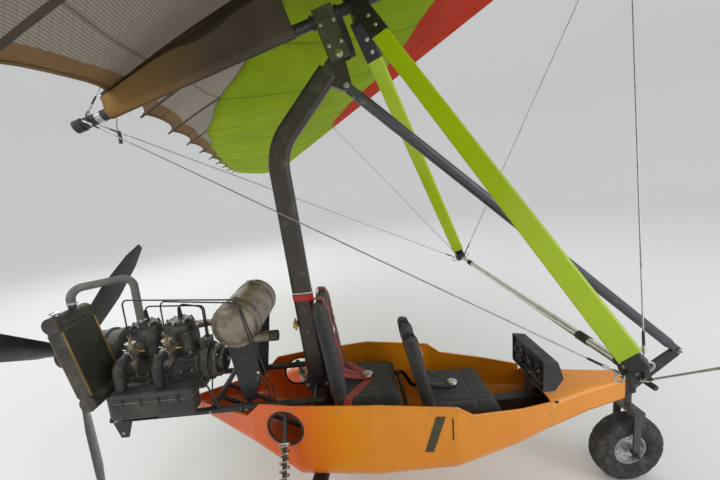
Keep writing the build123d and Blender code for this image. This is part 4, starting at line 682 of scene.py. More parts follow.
def lower_at(v, t):
    """The lower skin from the lip (0) to where it joins the upper one (1)."""
    lip_u, _, lip_w = lip_at(v)
    join_u, _, join_w = upper_at(v, in_table(LOWER_REACH, abs(v))[0], -0.004)
    drop = 4 * t * (1 - t) * (1.25 - 0.5 * t) * (0.040 * chord_of(v) + 0.007 * slack_at(v) ** 2)
    return lip_u + (join_u - lip_u) * t, v, lip_w + (join_w - lip_w) * t - drop


def spans(start, end, step=0.065):
    """Span positions from start to end that meet every batten."""
    stops = [start] + [b for b in BATTENS if start < b < end] + [end]
    found = []
    for low, high in zip(stops, stops[1:]):
        count = max(1, ceil((high - low) / step))
        found += [low + (high - low) * k / count for k in range(count)]
    return found + [end]


def both_halves(make_row, v_list):
    """Blocks of rows for port and starboard, the second the first's mirror image."""
    port = [make_row(v) for v in v_list]
    return [port, [[(u, -v, w) for u, v, w in row] for row in reversed(port)]]


def add_cloth(name, blocks, mark, slots, node):
    """A stretched sheet from blocks of rows of (u, v, w); mark gives a face's material by v and column."""
    verts, uvs, faces, marks = [], [], [], []
    for rows in blocks:
        base, width = len(verts), len(rows[0])
        verts += [wing(*point) for row in rows for point in row]
        uvs += [(v, u) for row in rows for u, v, w in row]
        for r, row in enumerate(rows[:-1]):
            for k in range(width - 1):
                a = base + r * width + k
                faces.append((a, a + 1, a + width + 1, a + width))
                marks.append(mark(row[0][1], k))
    made = smooth_object(name, verts, faces, marks, slots)
    layer = made.data.uv_layers.new(name=CLOTH)
    for loop in made.data.loops:
        layer.data[loop.index].uv = uvs[loop.vertex_index]
    solid = made.modifiers.new("thickness", "SOLIDIFY")
    solid.thickness = CLOTH_THICK
    solid.offset = 0.0
    settled(made, "wing", [node])


def add_upper_sail():
    def row(v):
        band = 1 - TAN_BAND / chord_of(v)
        shares = [0.0, 0.012, 0.03, 0.055] + [0.085 + (band - 0.085) * k / 22 for k in range(22)]
        return [upper_at(v, s) for s in shares + [band + (1 - band) * k / 4 for k in range(5)]]

    port, starboard = both_halves(row, spans(0.0, HALF_SPAN))
    add_cloth("sail_top_cloth", [starboard[:-1] + port], lambda v, column: (column > 3) + (column > 25),
              ["sail_red", "sail_grey", "tan_band"], "sail_upper")


def add_lower_sail():
    def row(v):
        """Red to the nose panel's seam, then lime on to the join."""
        lip_u, join_u = lip_at(v)[0], lower_at(v, 1.0)[0]
        seam_u = min(lip_u, in_table(NOSE_PANEL, v)[0])
        seam = max(0.012, (lip_u - seam_u) / (lip_u - join_u))
        return [lower_at(v, t) for t in [seam * k / 5 for k in range(5)]
                + [seam + (1 - seam) * k / 20 for k in range(21)]]

    add_cloth("sail_under_cloth", both_halves(row, spans(LOWER_START_V, LOWER_END_V)),
              lambda v, column: int(column < 5 and abs(v) < RED_END_V - 0.45),
              ["sail_lime", "sail_red"], "sail_lower")


def add_edge_cloth():
    def row(v):
        points = [(front_u(v) + ROLL_R * sin(t) / cos(SWEEP), v, KEEL_W + ROLL_R * cos(t))
                  for t in [pi * k / 8 for k in range(9)]]
        lip = LIP_SHARE * chord_of(v)
        shares = [0.3, 0.6] + [1 - short / lip for short in (0.045, 0.030, 0.015, 0.0)]
        return points + [lip_at(v, share) for share in shares]

    def mark(v, column):
        """A dark and a white line, and beyond the red a slanting seam to lime beneath."""
        if column in (5, 6):
            return column - 4
        return 3 if column > 6 and abs(v) > RED_END_V + 0.15 * (10 - column) else 0

    add_cloth("sail_edge_cloth", both_halves(row, spans(EDGE_START_V, HALF_SPAN)), mark,
              ["sail_red", "dark_trim", "white_trim", "sail_lime"], "sail_edge")


def add_keel_pocket():
    """The cloth fin round the keel tube and up to the sail."""
    rows = []
    for k in range(POCKET_STEPS + 1):
        u = POCKET_U[0] + (POCKET_U[1] - POCKET_U[0]) * k / POCKET_STEPS
        top = upper_over(u, 0.0, -0.006)[2]
        ripple = 0.004 * sin(9 * u) * sin(pi * k / POCKET_STEPS)
        flank = [(0.006 + 0.014 * (1 - part), ripple * part, KEEL_W + 0.018 + (top - KEEL_W) * part)
                 for part in (0.66, 0.33)]
        port = [(u, 0.0035, top)] + [(u, out + bend, w) for out, bend, w in flank]
        starboard = [(u, bend - out, w) for out, bend, w in reversed(flank)] + [(u, -0.0035, top)]
        reach = KEEL_R + 0.003
        rows.append(port + [(u, reach * cos(radians(t)), KEEL_W + reach * sin(radians(t)))
                            for t in range(20, -201, -20)] + starboard)
    add_cloth("keel_pocket_cloth", [list(zip(*rows))], lambda v, column: 0, ["pocket_brown"], "keel_pocket")


def add_battens():
    """Batten pockets sewn on both faces, the batten tips behind the trailing edge and their ties. The
    pockets' tape is darker than the sail, partly its own colour and partly painted shade along the pockets.
    """
    tapes, tips, ties = Shapes(), Shapes(), Shapes()
    for v in [side * batten for batten in BATTENS[:-1] for side in SIDES if batten or side > 0]:
        start = 0.10 if v else 0.04
        for low, lift in ((max(start, in_table(LOWER_REACH, abs(v))[0]), -0.0018), (start, 0.0022)):
            if v or lift > 0:
                line = [wing(*upper_at(v, low + (1.0 - low) * k / 24, lift)) for k in range(25)]
                tapes.strap(line, 0.034, 0.0028, Y)
        end = wing(*upper_at(v, 1.0))
        back = (end - wing(*upper_at(v, 0.97))).normalized()
        tips.turned(end - back * 0.02, back, [(0, 0.0042), (0.040, 0.0042), (0.041, 0.0056), (0.048, 0.0056),
                                              (0.050, 0.0040)], 12)
        for over in (1, -1):
            tie = [end + back * along + AWAY * over * out for along, out in BATTEN_TIE]
            ties.pipe(eased(tie, 5), 0.0011, 6)
    tapes.piece("batten_pockets", "wing", "batten_tape_and_shade")
    tips.piece("batten_tips", "wing", "black_plastic")
    ties.piece("batten_ties", "wing", "black_web")


def add_trailing_hem():
    hem = Shapes()
    for side in SIDES:
        tail = [upper_at(side * v, 1.0) for v in spans(0.0, HALF_SPAN, 0.09)]
        hem.strap([wing(u + 0.008, v, w) for u, v, w in tail], 0.016, 0.0042, AHEAD)
    hem.piece("trailing_hem", "wing", "tan_band")


add_upper_sail()
add_lower_sail()
add_edge_cloth()
add_keel_pocket()
add_battens()
add_trailing_hem()

# Rigging: thimbles, ferrules and sleeves at each wire's ends, and the fittings' bolts

BAR_FACE = 0.0326
NOSE_WIRE_U, NOSE_FACE = NOSE_U - 0.014, 0.0393
TAIL_WIRE_U = KEEL_TAIL_U + 0.060
JUNCTION_V = 2.6
JUNCTION_U = front_u(JUNCTION_V) - 0.080
WIRES = [
    # two ends as (u, v, w), both to port; drawn on both sides where v isn't zero
    ((BAR_U + BAR_FACE, BAR_HALF, BAR_W), (NOSE_WIRE_U, 0.012, KEEL_W - NOSE_FACE)),
    ((BAR_U - BAR_FACE, BAR_HALF, BAR_W), (TAIL_WIRE_U, 0.0356, KEEL_W)),
    ((BAR_U, BAR_HALF + 0.024, BAR_W - 0.018), (JUNCTION_U, JUNCTION_V, KEEL_W - 0.020)),
    ((KINGPOST_U, 0.0172, KINGPOST_TOP_W - 0.010), (JUNCTION_U, JUNCTION_V, KEEL_W + 0.020)),
    ((KINGPOST_U + 0.0186, 0.0, KINGPOST_TOP_W - 0.016), (NOSE_WIRE_U, 0.0, KEEL_W + NOSE_FACE)),
    ((KINGPOST_U - 0.0186, 0.0, KINGPOST_TOP_W - 0.016), (TAIL_WIRE_U, 0.0, KEEL_W + KEEL_R + 0.0026)),
]


def add_rigging():
    steel, sleeves, fittings = Shapes(), Shapes(), Shapes()
    for ends in WIRES:
        for side in SIDES if ends[0][1] else (1,):
            a, b = (wing(u, side * v, w) for u, v, w in ends)
            for end, other in ((a, b), (b, a)):
                along = (other - end).normalized()
                loop = circle(end + along * 0.016, along * -0.014, frame_on(along)[0] * 0.0085, 18)
                loop[9] += along * 0.010
                steel.pipe(loop, 0.0030, 8, loop=True)
                steel.collar(end + along * 0.040, along, 0.0035, 0.0056, 0.022, 0.002, 14)
                for dent in (0.047, 0.055):
                    steel.collar(end + along * dent, along, 0.0056, 0.0062, 0.003, 0.001, 14)
                sleeves.turned(end + along * 0.063, along, [(0, 0.0042), (0.04, 0.0040), (0.042, 0.0030)], 12)
    steel.piece("wire_thimbles", "wing", "bright_steel")
    sleeves.piece("wire_sleeves", "wing", "black_plastic")

    nose = ((1.385, 0.040), (1.385, -0.040), (1.30, 0.048), (1.30, -0.048), (1.25, 0.0), (1.41, 0.0))
    for side in SIDES:
        fittings.bolts([wing(u, v, KEEL_W + side * 0.0367) for u, v in nose], AWAY * side, thread=0.004)
    for side in SIDES:
        apex, corner = wing(APEX_U, side * APEX_V, APEX_W), wing(BAR_U, side * BAR_HALF, BAR_W)
        run = (corner + AWAY * 0.052 - apex).normalized()
        for way in SIDES:
            out = run.cross(AHEAD) * way
            fittings.bolts([apex + run * reach + out * 0.0165 for reach in (0.09, 0.15)], out, thread=0.003)
            fittings.pipe(circle(corner + AHEAD * way * 0.046 - AWAY * 0.004, AHEAD * way * -0.016,
                                 AWAY * 0.014, 20), 0.0030, 8, loop=True)
        fittings.bolts([corner + AHEAD * u + AWAY * 0.022 for u in (-0.022, 0.022)], AWAY, 0.010, 0.005)
    fittings.collar(wing(KINGPOST_U, 0, KINGPOST_TOP_W - 0.030), AWAY, 0.0168, 0.0185, 0.026, 0.004, 20)
    fittings.turned(wing(KINGPOST_U, 0, KINGPOST_TOP_W - 0.001), AWAY,
                    [(0, 0.0165), (0.004, 0.0150), (0.007, 0.009), (0.008, 0.001)], 20)
    fittings.piece("wing_fittings", "wing", "bright_steel")


def add_wing_trim():
    """Grip tape, kingpost collar and patch, keel tail bands with their cord and tag."""
    dark, bands, tag, cord, patch = (Shapes() for _ in range(5))
    for side in (1, -1):
        dark.collar(wing(BAR_U, side * 0.58 - 0.03, BAR_W), Y, 0.0145, 0.0165, 0.060, 0.002)
    for side in (1, -1):
        dark.collar(wing(BAR_U, side * 0.745 - 0.012, BAR_W), Y, 0.0143, 0.0152, 0.024, 0.001)
    dark.turned(wing(KINGPOST_U, 0, KEEL_W + 0.100), AWAY,
                [(0, 0.0162), (0.002, 0.020), (0.040, 0.020), (0.044, 0.0162)], 20)
    dark.piece("bar_collars", "wing", "black_rubber")
    for off, wide in ((0.135, 0.030), (0.205, 0.012)):
        bands.collar(wing(KEEL_TAIL_U + off - wide, 0, KEEL_W), AHEAD, 0.0252, 0.0268, wide, 0.001)
    bands.piece("keel_tail_bands", "wing", "bright_steel")

    knot = wing(KEEL_TAIL_U + 0.190, -0.010, KEEL_W - KEEL_R - 0.001)
    run = eased([knot, knot - Z * 0.02 + Y * 0.004, knot - Z * 0.045 - AHEAD * 0.004, knot - Z * 0.07], 5)
    cord.pipe(run, 0.0016, 6)
    fall = [(0.068, 0), (0.09, 0.003), (0.125, 0.001)]
    tag.strap([knot - Z * drop + AHEAD * ahead for drop, ahead in fall], 0.018, 0.0012, AHEAD)
    tag = tag.piece("keel_tail_tag", "wing", "black_web")
    cord = cord.piece("keel_tail_cord", "wing", "black_web")
    sum((b - a).length for a, b in zip(run, run[1:]))
    [tuple(point) for point in run]

    patch.rings([[wing(*upper_over(KINGPOST_U + r * cos(t), r * sin(t), lift)) for t in around(28)]
                 for r, lift in ((0.030, 0.006), (0.055, 0.004), (0.085, 0.0025), (0.110, 0.001))],
                 caps=False)
    patch.piece("kingpost_patch", "wing", "patch_cloth")


def add_hang_trim():
    """The hang bolt's nut and washers, the bracket's bolts and the backup strap."""
    metal, strap = Shapes(), Shapes()
    for side in SIDES:
        out = Y * side
        metal.turned(HANG + out * 0.0322, out, [(0, 0.019), (0.0025, 0.019), (0.003, 0.017)], 24)
        metal.bolts([HANG + out * 0.0345], out, 0.024, 0.008, 0.006, False)
        corners = ((-0.030, 0.045), (0.030, 0.045), (-0.032, KEEL_W - 0.032), (0.032, KEEL_W - 0.032))
        metal.bolts([wing(u, side * 0.0322, w) for u, w in corners], out, thread=0.004)
    metal.piece("hang_bolts", "hang_bracket", "bright_steel")
    loop = circle(HANG + AHEAD * 0.058 + AWAY * (KEEL_W * 0.5), Y * 0.036, AWAY * 0.115, 36)
    strap.strap(loop + loop[:2], 0.030, 0.0025, AHEAD)
    strap.piece("backup_strap", "hang_bracket", "black_web")


add_rigging()
add_wing_trim()
add_hang_trim()

# Carrying frame: bolts, mast band and fuel tap

MAST_HALF_CHORD, MAST_HALF_THICK = 0.050, 0.028
ENGINE_X = -0.872


def mast_x(z):
    """The mast's middle at a height on its straight lower stretch."""
    return -0.092 - 0.100 * (z - 0.5264) / (2.0 - 0.5264)


FRAME_BOLTS = [
    # across flats, height, thread, places to port
    (0.013, 0.006, 0.005, [(mast_x(z) + dx, y, z) for dx, y, z in
                           ((-0.035, 0.0368, 0.560), (0.035, 0.0368, 0.560), (0.0, 0.0368, 0.630),
                            (-0.050, 0.0433, 0.790), (0.050, 0.0433, 0.790))]),
    (0.010, 0.005, 0.003, [(-1.060, 0.196, 0.790), (-1.000, 0.196, 0.790), (-0.612, 0.196, 0.790),
                           (-0.442, 0.196, 0.790), (-1.045, 0.1835, 0.715)]),
    (0.019, 0.008, 0.005, [(0.170, 0.0314, 2.262), (1.863, 0.0214, 0.772)]),
]


def mast_band(shapes, low, high, proud, mark):
    """A band round the mast between two heights."""
    outline = [squircle(t, 0.45) for t in around(32)]
    shapes.rings([[(mast_x(z) + x * (MAST_HALF_CHORD + proud), y * (MAST_HALF_THICK + proud), z)
                   for x, y in outline] for z in (low, high)], mark, caps=False)


def add_frame_trim():
    bands, bolts, tap = Shapes(), Shapes(), Shapes()
    mast_band(bands, 1.246, 1.278, 0.0012, 0)
    mast_band(bands, 1.284, 1.290, 0.0010, 1)
    bands.piece("mast_band", "trike", "red_plastic", "white_plastic")
    for side in SIDES:
        for across_flats, height, thread, places in FRAME_BOLTS:
            bolts.bolts([(x, side * y, z) for x, y, z in places], Y * side, across_flats, height, thread)
        bolts.bolts([(ENGINE_X + dx, side * 0.180, 0.8793) for dx in (-0.130, 0.130)], Z, 0.017, 0.008, 0.008)
    bolts.piece("frame_bolts", "trike", "zinc_steel")
    at = Vector((mast_x(1.12) - MAST_HALF_CHORD - 0.011, -0.012, 1.12))
    tap.block(at, (0.022, 0.026, 0.034), edge=0.003)
    tap.turned(at - Y * 0.013, -Y, [(0, 0.006), (0.008, 0.006), (0.008, 0.013), (0.016, 0.012),
                                    (0.018, 0.008)], 16, 1)
    for way in (Z, -Z):
        tap.turned(at + way * 0.017, way, [(0, 0.005), (0.014, 0.005), (0.015, 0.004)], 12, 2)
    tap.piece("fuel_tap", "trike", "zinc_steel", "yellow_paint", "brass")


add_frame_trim()

# Main gear and wheels: damper springs, spats, grooved tyres, peg rubbers

WHEEL_R, BEAD_R = 0.200, 0.0925
NOSE_AXLE_X = 1.608
MAIN_AXLE_X, HALF_TRACK = -0.292, 0.850
DAMPER = ((-0.2460, 0.6305, 0.262), (-0.252, 0.2103, 0.790))
SPAT_WALL = 0.004
SPAT_HALF_LENGTH = 0.30
SPAT_LOW_Z = 0.100
SPAT_ROUNDNESS = 3.0
SPAT_STATIONS = [
    # x ahead of the axle, half width, middle height, half height
    (-0.3335, 0.0012, 0.190, 0.0012), (-0.333, 0.006, 0.190, 0.007), (-0.331, 0.018, 0.190, 0.018),
    (-0.322, 0.031, 0.189, 0.036), (-0.280, 0.052, 0.184, 0.094), (-0.215, 0.074, 0.177, 0.163),
    (-0.120, 0.085, 0.184, 0.216), (0.000, 0.088, 0.193, 0.235), (0.100, 0.087, 0.193, 0.230),
    (0.170, 0.081, 0.190, 0.206), (0.222, 0.064, 0.185, 0.150), (0.246, 0.048, 0.182, 0.106),
    (0.257, 0.032, 0.180, 0.070), (0.261, 0.010, 0.180, 0.022), (0.2615, 0.0012, 0.180, 0.0025),
]
TYRE_PROFILE = [
    # distance from the wheel's middle plane, radius
    (-0.036, 0.094), (-0.043, 0.110), (-0.0495, 0.130), (-0.0515, 0.150), (-0.0490, 0.170), (-0.0440, 0.184),
    (-0.0385, 0.1915), (-0.0300, 0.1962), (-0.0240, 0.1980), (-0.0236, 0.1935), (-0.0206, 0.1935),
    (-0.0202, 0.1988), (-0.0090, 0.1998), (-0.0086, 0.1945), (-0.0056, 0.1945), (-0.0052, 0.2000),
]
WHEELS = [
    # name, body, CAD node of the tyre, x, y
    ("nose", "nose_wheel", "nose_tyre", NOSE_AXLE_X, 0.0),
    ("left", "wheel_left", "tyre_left", MAIN_AXLE_X, HALF_TRACK),
    ("right", "wheel_right", "tyre_right", MAIN_AXLE_X, -HALF_TRACK),
]


def helix(start, end, a, b, turns, per_turn):
    """A coil's line from start to end; a and b are its radius in two directions."""
    count = int(turns * per_turn)
    angles = [2 * pi * k / per_turn for k in range(count + 1)]
    return [start.lerp(end, k / count) + a * cos(t) + b * sin(t) for k, t in enumerate(angles)]


def add_gear():
    coils = Shapes()
    for side in SIDES:
        low, top = (Vector((x, side * y, z)) for x, y, z in DAMPER)
        along = (top - low).normalized()
        across, up = frame_on(along)
        coils.pipe(helix(low + along * 0.236, low + along * 0.520, across * 0.0205, up * 0.0205, 9.5, 16),
                   0.0042, 8)
        for reach in (0.228, 0.520):
            coils.turned(low + along * reach, along, [(0, 0.011), (0.0, 0.027), (0.006, 0.027),
                                                      (0.006, 0.011)])
    coils.piece("damper_springs", "trike", "zinc_steel")


def spat_section(station, y, wall=0.0):
    """Half an outline or less: up from the opening on one side, over the top and down to it."""
    dx, half, middle, half_height = station
    if wall:
        dx *= 1 - wall / SPAT_HALF_LENGTH
        half, half_height = (max(size - wall, 0.4 * size) for size in (half, half_height))
    first = -asin(min(1.0, (middle - SPAT_LOW_Z) / half_height) ** (SPAT_ROUNDNESS / 2))
    outline = [squircle(first + (pi - 2 * first) * k / 48, 2 / SPAT_ROUNDNESS) for k in range(49)]
    return [Vector((MAIN_AXLE_X + dx, y + half * out, middle + half_height * up)) for out, up in outline]


def add_spats():
    """Smooth teardrop wheel fairings, open below, with a rolled lip."""
    curve = eased([station[:3] for station in SPAT_STATIONS], 4)
    heights = eased([(station[3], 0, 0) for station in SPAT_STATIONS], 4)
    stations = [(*point, height.x) for point, height in zip(curve, heights)]
    for name, y in (("left", HALF_TRACK), ("right", -HALF_TRACK)):
        shell = Shapes()
        outer = [spat_section(station, y) for station in stations]
        shell.rings([section + spat_section(station, y, SPAT_WALL)[::-1]
                     for station, section in zip(stations, outer)])
        opened = [section for station, section in zip(stations, outer)
                  if station[2] - station[3] < SPAT_LOW_Z]
        lip = [section[0] for section in opened] + [section[-1] for section in reversed(opened)]
        shell.pipe(lip, 0.0042, 10, loop=True)
        shell.piece("spat_shell_" + name, "trike", "pod_orange", replaced=["spat_" + name], angle=50)


def add_wheel(name, body, node, x, y):
    tyre, trim = Shapes(), Shapes()
    axle = Vector((x, y, WHEEL_R))
    rings = []
    for k, t in enumerate(around(96)):
        out = X * sin(t) + Z * cos(t)
        cut = 0.0 if k % 6 else 0.0035
        ring = []
        for off, radius in TYRE_PROFILE + [(-off, radius) for off, radius in reversed(TYRE_PROFILE)]:
            shoulder = 0.024 < abs(off) < 0.046 and radius > 0.18
            bead = 0.0006 if 0.120 < radius < 0.135 else 0.0
            ring.append(axle + Y * off + out * (radius - cut * shoulder + bead))
        rings.append(ring + [axle + Y * off + out * BEAD_R for off in (0.034, -0.034)])
    tyre.rings(rings, loop=True)
    tyre.piece("grooved_tyre_" + name, body, "tyre", replaced=[node], slot="tyre", angle=30)
    for side in SIDES:
        trim.bolts(circle(axle + Y * side * 0.006, Z * -0.058, X * -0.058, 5), Y * side, 0.010, 0.005, 0.003)
        trim.pipe(circle(axle + Y * side * 0.0342, Z * 0.0865, X * 0.0865, 72), 0.0028, 8, loop=True)
    trim.turned(axle + X * 0.078 - Y * 0.012, (-0.5, -1.0, 0), [
        (0, 0.0045), (0.014, 0.0045), (0.015, 0.003), (0.024, 0.003), (0.025, 0.0042), (0.033, 0.0042)], 12)
    trim.piece("wheel_trim_" + name, body, "bright_steel")


def add_peg_rubbers():
    pegs = Shapes()
    outline = [(0, 0.0102), (0.001, 0.0135)]
    for rib in [0.004 + k * 0.0085 for k in range(9)]:
        outline += [(rib, 0.0150), (rib + 0.005, 0.0150), (rib + 0.0055, 0.0132)]
    outline += [(0.080, 0.0132), (0.081, 0.0102)]
    for side in SIDES:
        pegs.turned((NOSE_AXLE_X, side * 0.088, 0.668), Y * side, outline, 20)
    pegs.piece("peg_rubbers", "fork", "black_rubber")


add_gear()
add_spats()
for wheel in WHEELS:
    add_wheel(*wheel)
add_peg_rubbers()

# Pod: rim lip, hatch rims, stripe, seam and fasteners

POD_SIDES = [
    # x, half width
    (-0.772, 0.020), (-0.412, 0.215), (-0.202, 0.268), (0.158, 0.318), (0.548, 0.318), (0.868, 0.252),
    (1.068, 0.186),
]
POD_RIM = [
    # x, z
    (-0.760, 0.752), (-0.437, 0.752), (-0.367, 0.822), (0.178, 0.822), (0.548, 0.772), (0.623, 0.716),
    (1.066, 0.656),
]
HATCH_X, HATCH_Z, HATCH_R = -0.252, 0.710, 0.085
POD_SCREWS = [
    # x, z
    (1.052, 0.640), (1.052, 0.600), (1.052, 0.560), (0.60, 0.700), (0.42, 0.770), (0.0, 0.800),
    (-0.34, 0.800),
    (-0.55, 0.735),
]
PAINT_LIFT = 0.0009
POD_MARKS = [
    # name, finish, corners in the photograph's pixels
    ("pod_stripe", "stripe_paint", ((436, 416.5), (446, 416.5), (434, 452), (425, 452))),
    ("pod_seam", "black_rubber", ((452.0, 418), (453.6, 418), (454.4, 440), (452.8, 440))),
]


def on_pod(x, z, side, inset=0.0):
    return Vector((x, side * (in_table(POD_SIDES, x)[0] - inset), z))


def add_pod_trim():
    lip, rubber_rim, screws = Shapes(), Shapes(), Shapes()
    line = []
    for low, high in zip(POD_RIM, POD_RIM[1:]):
        count = max(2, int((high[0] - low[0]) / 0.03))
        line += [Vector(low).lerp(Vector(high), k / count) for k in range(count)]
    line.append(POD_RIM[-1])
    hatch = Vector((HATCH_X, 0, HATCH_Z))
    ring_r = HATCH_R + 0.020
    round_hatch = [(HATCH_X + ring_r * cos(t + pi / 8), HATCH_Z + ring_r * sin(t + pi / 8))
                   for t in around(8)]
    for side in SIDES:
        lip.pipe([on_pod(x, z + 0.001, side, 0.003) for x, z in line], 0.0060)
        rim = circle(hatch, X * HATCH_R, Z * HATCH_R, 64)
        rubber_rim.pipe([on_pod(p.x, p.z, side, 0.003) for p in rim], 0.0065, 10, loop=True)
        for x, z in round_hatch + POD_SCREWS:
            screws.turned(on_pod(x, z, side), Y * side, [(0, 0.0055), (0.0022, 0.0050), (0.003, 0.003)], 12)
    lip.piece("pod_rim_lip", "trike", "pod_orange")
    rubber_rim.piece("hatch_rims", "trike", "black_rubber")
    screws.piece("pod_screws", "trike", "zinc_steel")


def pixel_ray(px, py):
    right, down = px - IMAGE_SIZE[0] / 2, py - IMAGE_SIZE[1] / 2
    return (FORWARD + (RIGHT * right - UP * down) / FOCAL_PIXELS).normalized()


def add_pod_marks():
    """The stripe and the seam, laid where the photograph shows them and mirrored to the port side."""
    tree = tree_of(frame["nodes"]["pod_shell"].data)
    for name, slot, corners in POD_MARKS:
        a, b, c, d = (Vector(corner) for corner in corners)
        rows = []
        for k in range(13):
            pixels = [a.lerp(b, j / 2).lerp(d.lerp(c, j / 2), k / 12) for j in range(3)]
            hits = [tree.ray_cast(CAMERA_AT, pixel_ray(*pixel))[:2] for pixel in pixels]
            row = [spot + normal * PAINT_LIFT for spot, normal in hits if spot and spot.y < -0.1]
            if len(row) == 3:
                rows.append(row)
        points = [point for row in rows for point in row]
        faces = [(p, p + 1, p + 4, p + 3) for r in range(len(rows) - 1) for p in (3 * r, 3 * r + 1)]
        paint = Shapes()
        paint.add(points, faces)
        paint.add([(p.x, -p.y, p.z) for p in points], [face[::-1] for face in faces])
        paint.piece(name, "trike", slot)
    clips = Shapes()
    cowl = tree_of(frame["nodes"]["pod_cowl"].data)
    for side in SIDES:
        spot, normal = cowl.ray_cast(Vector((1.10, side, 0.640)), -Y * side)[:2]
        clips.block(spot + normal * 0.002, (0.018, 0.008, 0.012))
    clips.piece("cowl_clips", "trike", "black_plastic")


add_pod_trim()
add_pod_marks()

# Instruments: bezels, faces, ticks, needles and switches; the tank's cap and straps

DIAL_X = 1.0315
DIALS = [
    # y, z, radius, needle's angle
    (-0.112, 0.790, 0.038, 0.9), (-0.018, 0.790, 0.038, -0.6), (0.068, 0.812, 0.026, 0.3),
    (0.068, 0.754, 0.022, 1.6), (0.128, 0.790, 0.022, -1.4),
]
TICK_REACH = 0.80
TANK_CAP = Vector((0.262, 0.095, 0.668))
TANK_STRAP = [(0.1512, 0.575), (0.1512, 0.640), (0.146, 0.661), (0.126, 0.6712)]  # y, z up one side


def add_instruments():
    bezels, faces, ticks, needles, collars, levers = (Shapes() for _ in range(6))
    for y, z, radius, reading in DIALS:
        at = Vector((DIAL_X, y, z))
        bezels.turned(at, -X, [(0, radius), (0.005, radius), (0.0065, radius - 0.0015),
                               (0.0065, radius - 0.0045), (0.0015, radius - 0.0055)], 40, caps=False)
        faces.turned(at - X * 0.0008, -X, [(0, radius - 0.005), (0.0006, radius - 0.005)], 40)
        for k in range(21):
            angle = radians(-135 + 13.5 * k)
            length, width = (0.10, 0.0006) if k % 5 else (0.17, 0.0011)
            way = Z * cos(angle) - Y * sin(angle)
            ticks.block(at - X * 0.0018 + way * radius * (TICK_REACH - length / 2),
                        (0.0006, width, radius * length), Matrix.Rotation(angle, 3, "X"), 0.0001)
        way = Z * cos(reading) - Y * sin(reading)
        needles.strap([at - X * 0.003 + way * radius * reach for reach in (-0.14, 0.40, 0.66)], 0.0016,
                      0.0006, X.cross(way))
        needles.turned(at - X * 0.0015, -X, [(0, 0.0028), (0.003, 0.0026)], 14)
    for y in (-0.130, -0.098, -0.066, -0.034):
        at = Vector((1.0395, y, 0.733))
        collars.turned(at, -X, [(0, 0.0072), (0.002, 0.0072), (0.002, 0.0050), (0.008, 0.0048)], 12)
        levers.turned(at - X * 0.006, (-0.8, 0, 0.6), [(0, 0.0016), (0.012, 0.0024), (0.015, 0.0018)], 10)
    bezels.piece("dial_bezels", "trike", "black_plastic")
    faces.piece("dial_faces", "trike", "dial_face")
    ticks.piece("dial_marks", "trike", "dial_white")
    needles.piece("dial_needles", "trike", "dial_white")
    collars.piece("switch_collars", "trike", "bright_steel")
    levers.piece("switch_levers", "trike", "bright_steel")


def add_tank_trim():
    cap, straps = Shapes(), Shapes()
    cap.rings([[TANK_CAP + Z * z + (X * cos(t) + Y * sin(t)) * (radius + 0.0012 * (k % 2))
                for k, t in enumerate(around(40))]
               for z, radius in ((0.0015, 0.026), (0.0145, 0.026), (0.0175, 0.023))])
    cap.turned(TANK_CAP, Z, [(0, 0.033), (0.003, 0.032), (0.003, 0.026)], 32)
    cap.piece("tank_cap", "trike", "black_plastic")
    for x in (0.085, 0.225):
        straps.strap([(x, -y, z) for y, z in TANK_STRAP] + [(x, y, z) for y, z in reversed(TANK_STRAP)],
                     0.025, 0.0016, X)
    straps.piece("tank_straps", "trike", "black_web")


add_instruments()
add_tank_trim()

# Power plant

CRANK_Z = 0.960
CYLINDERS_X = (-0.960, -0.788)
PORT_Z = 1.096
HEAD_TOP = 1.184
PROP_X, PROP_Z = -1.362, 1.070
GEARBOX_REAR_X = -1.236
RADIATOR = Vector((-1.102, -0.225, 1.150))
RADIATOR_LEAN = Matrix.Rotation(radians(-12), 3, "Y")
AIRBOX_X, AIRBOX_Y, AIRBOX_SEAM_Z = -0.812, -0.265, 0.948
AIRBOX_HALF_X, AIRBOX_HALF_Y = 0.185, 0.045
SILENCER = Vector((-0.442, 0.0, 1.210))
LOOM_HUB = Vector((-0.700, -0.212, 1.020))
HOSE_CLAMPS = [
    # place, axis, radius
    ((-0.960, -0.030, 1.2240), Z, 0.0182), ((-1.1407, -0.195, 1.3900), Z, 0.0182),
    ((-1.0050, -0.165, 0.945), X, 0.0142), ((-0.912, -0.1400, 0.945), -Y, 0.0142),
]


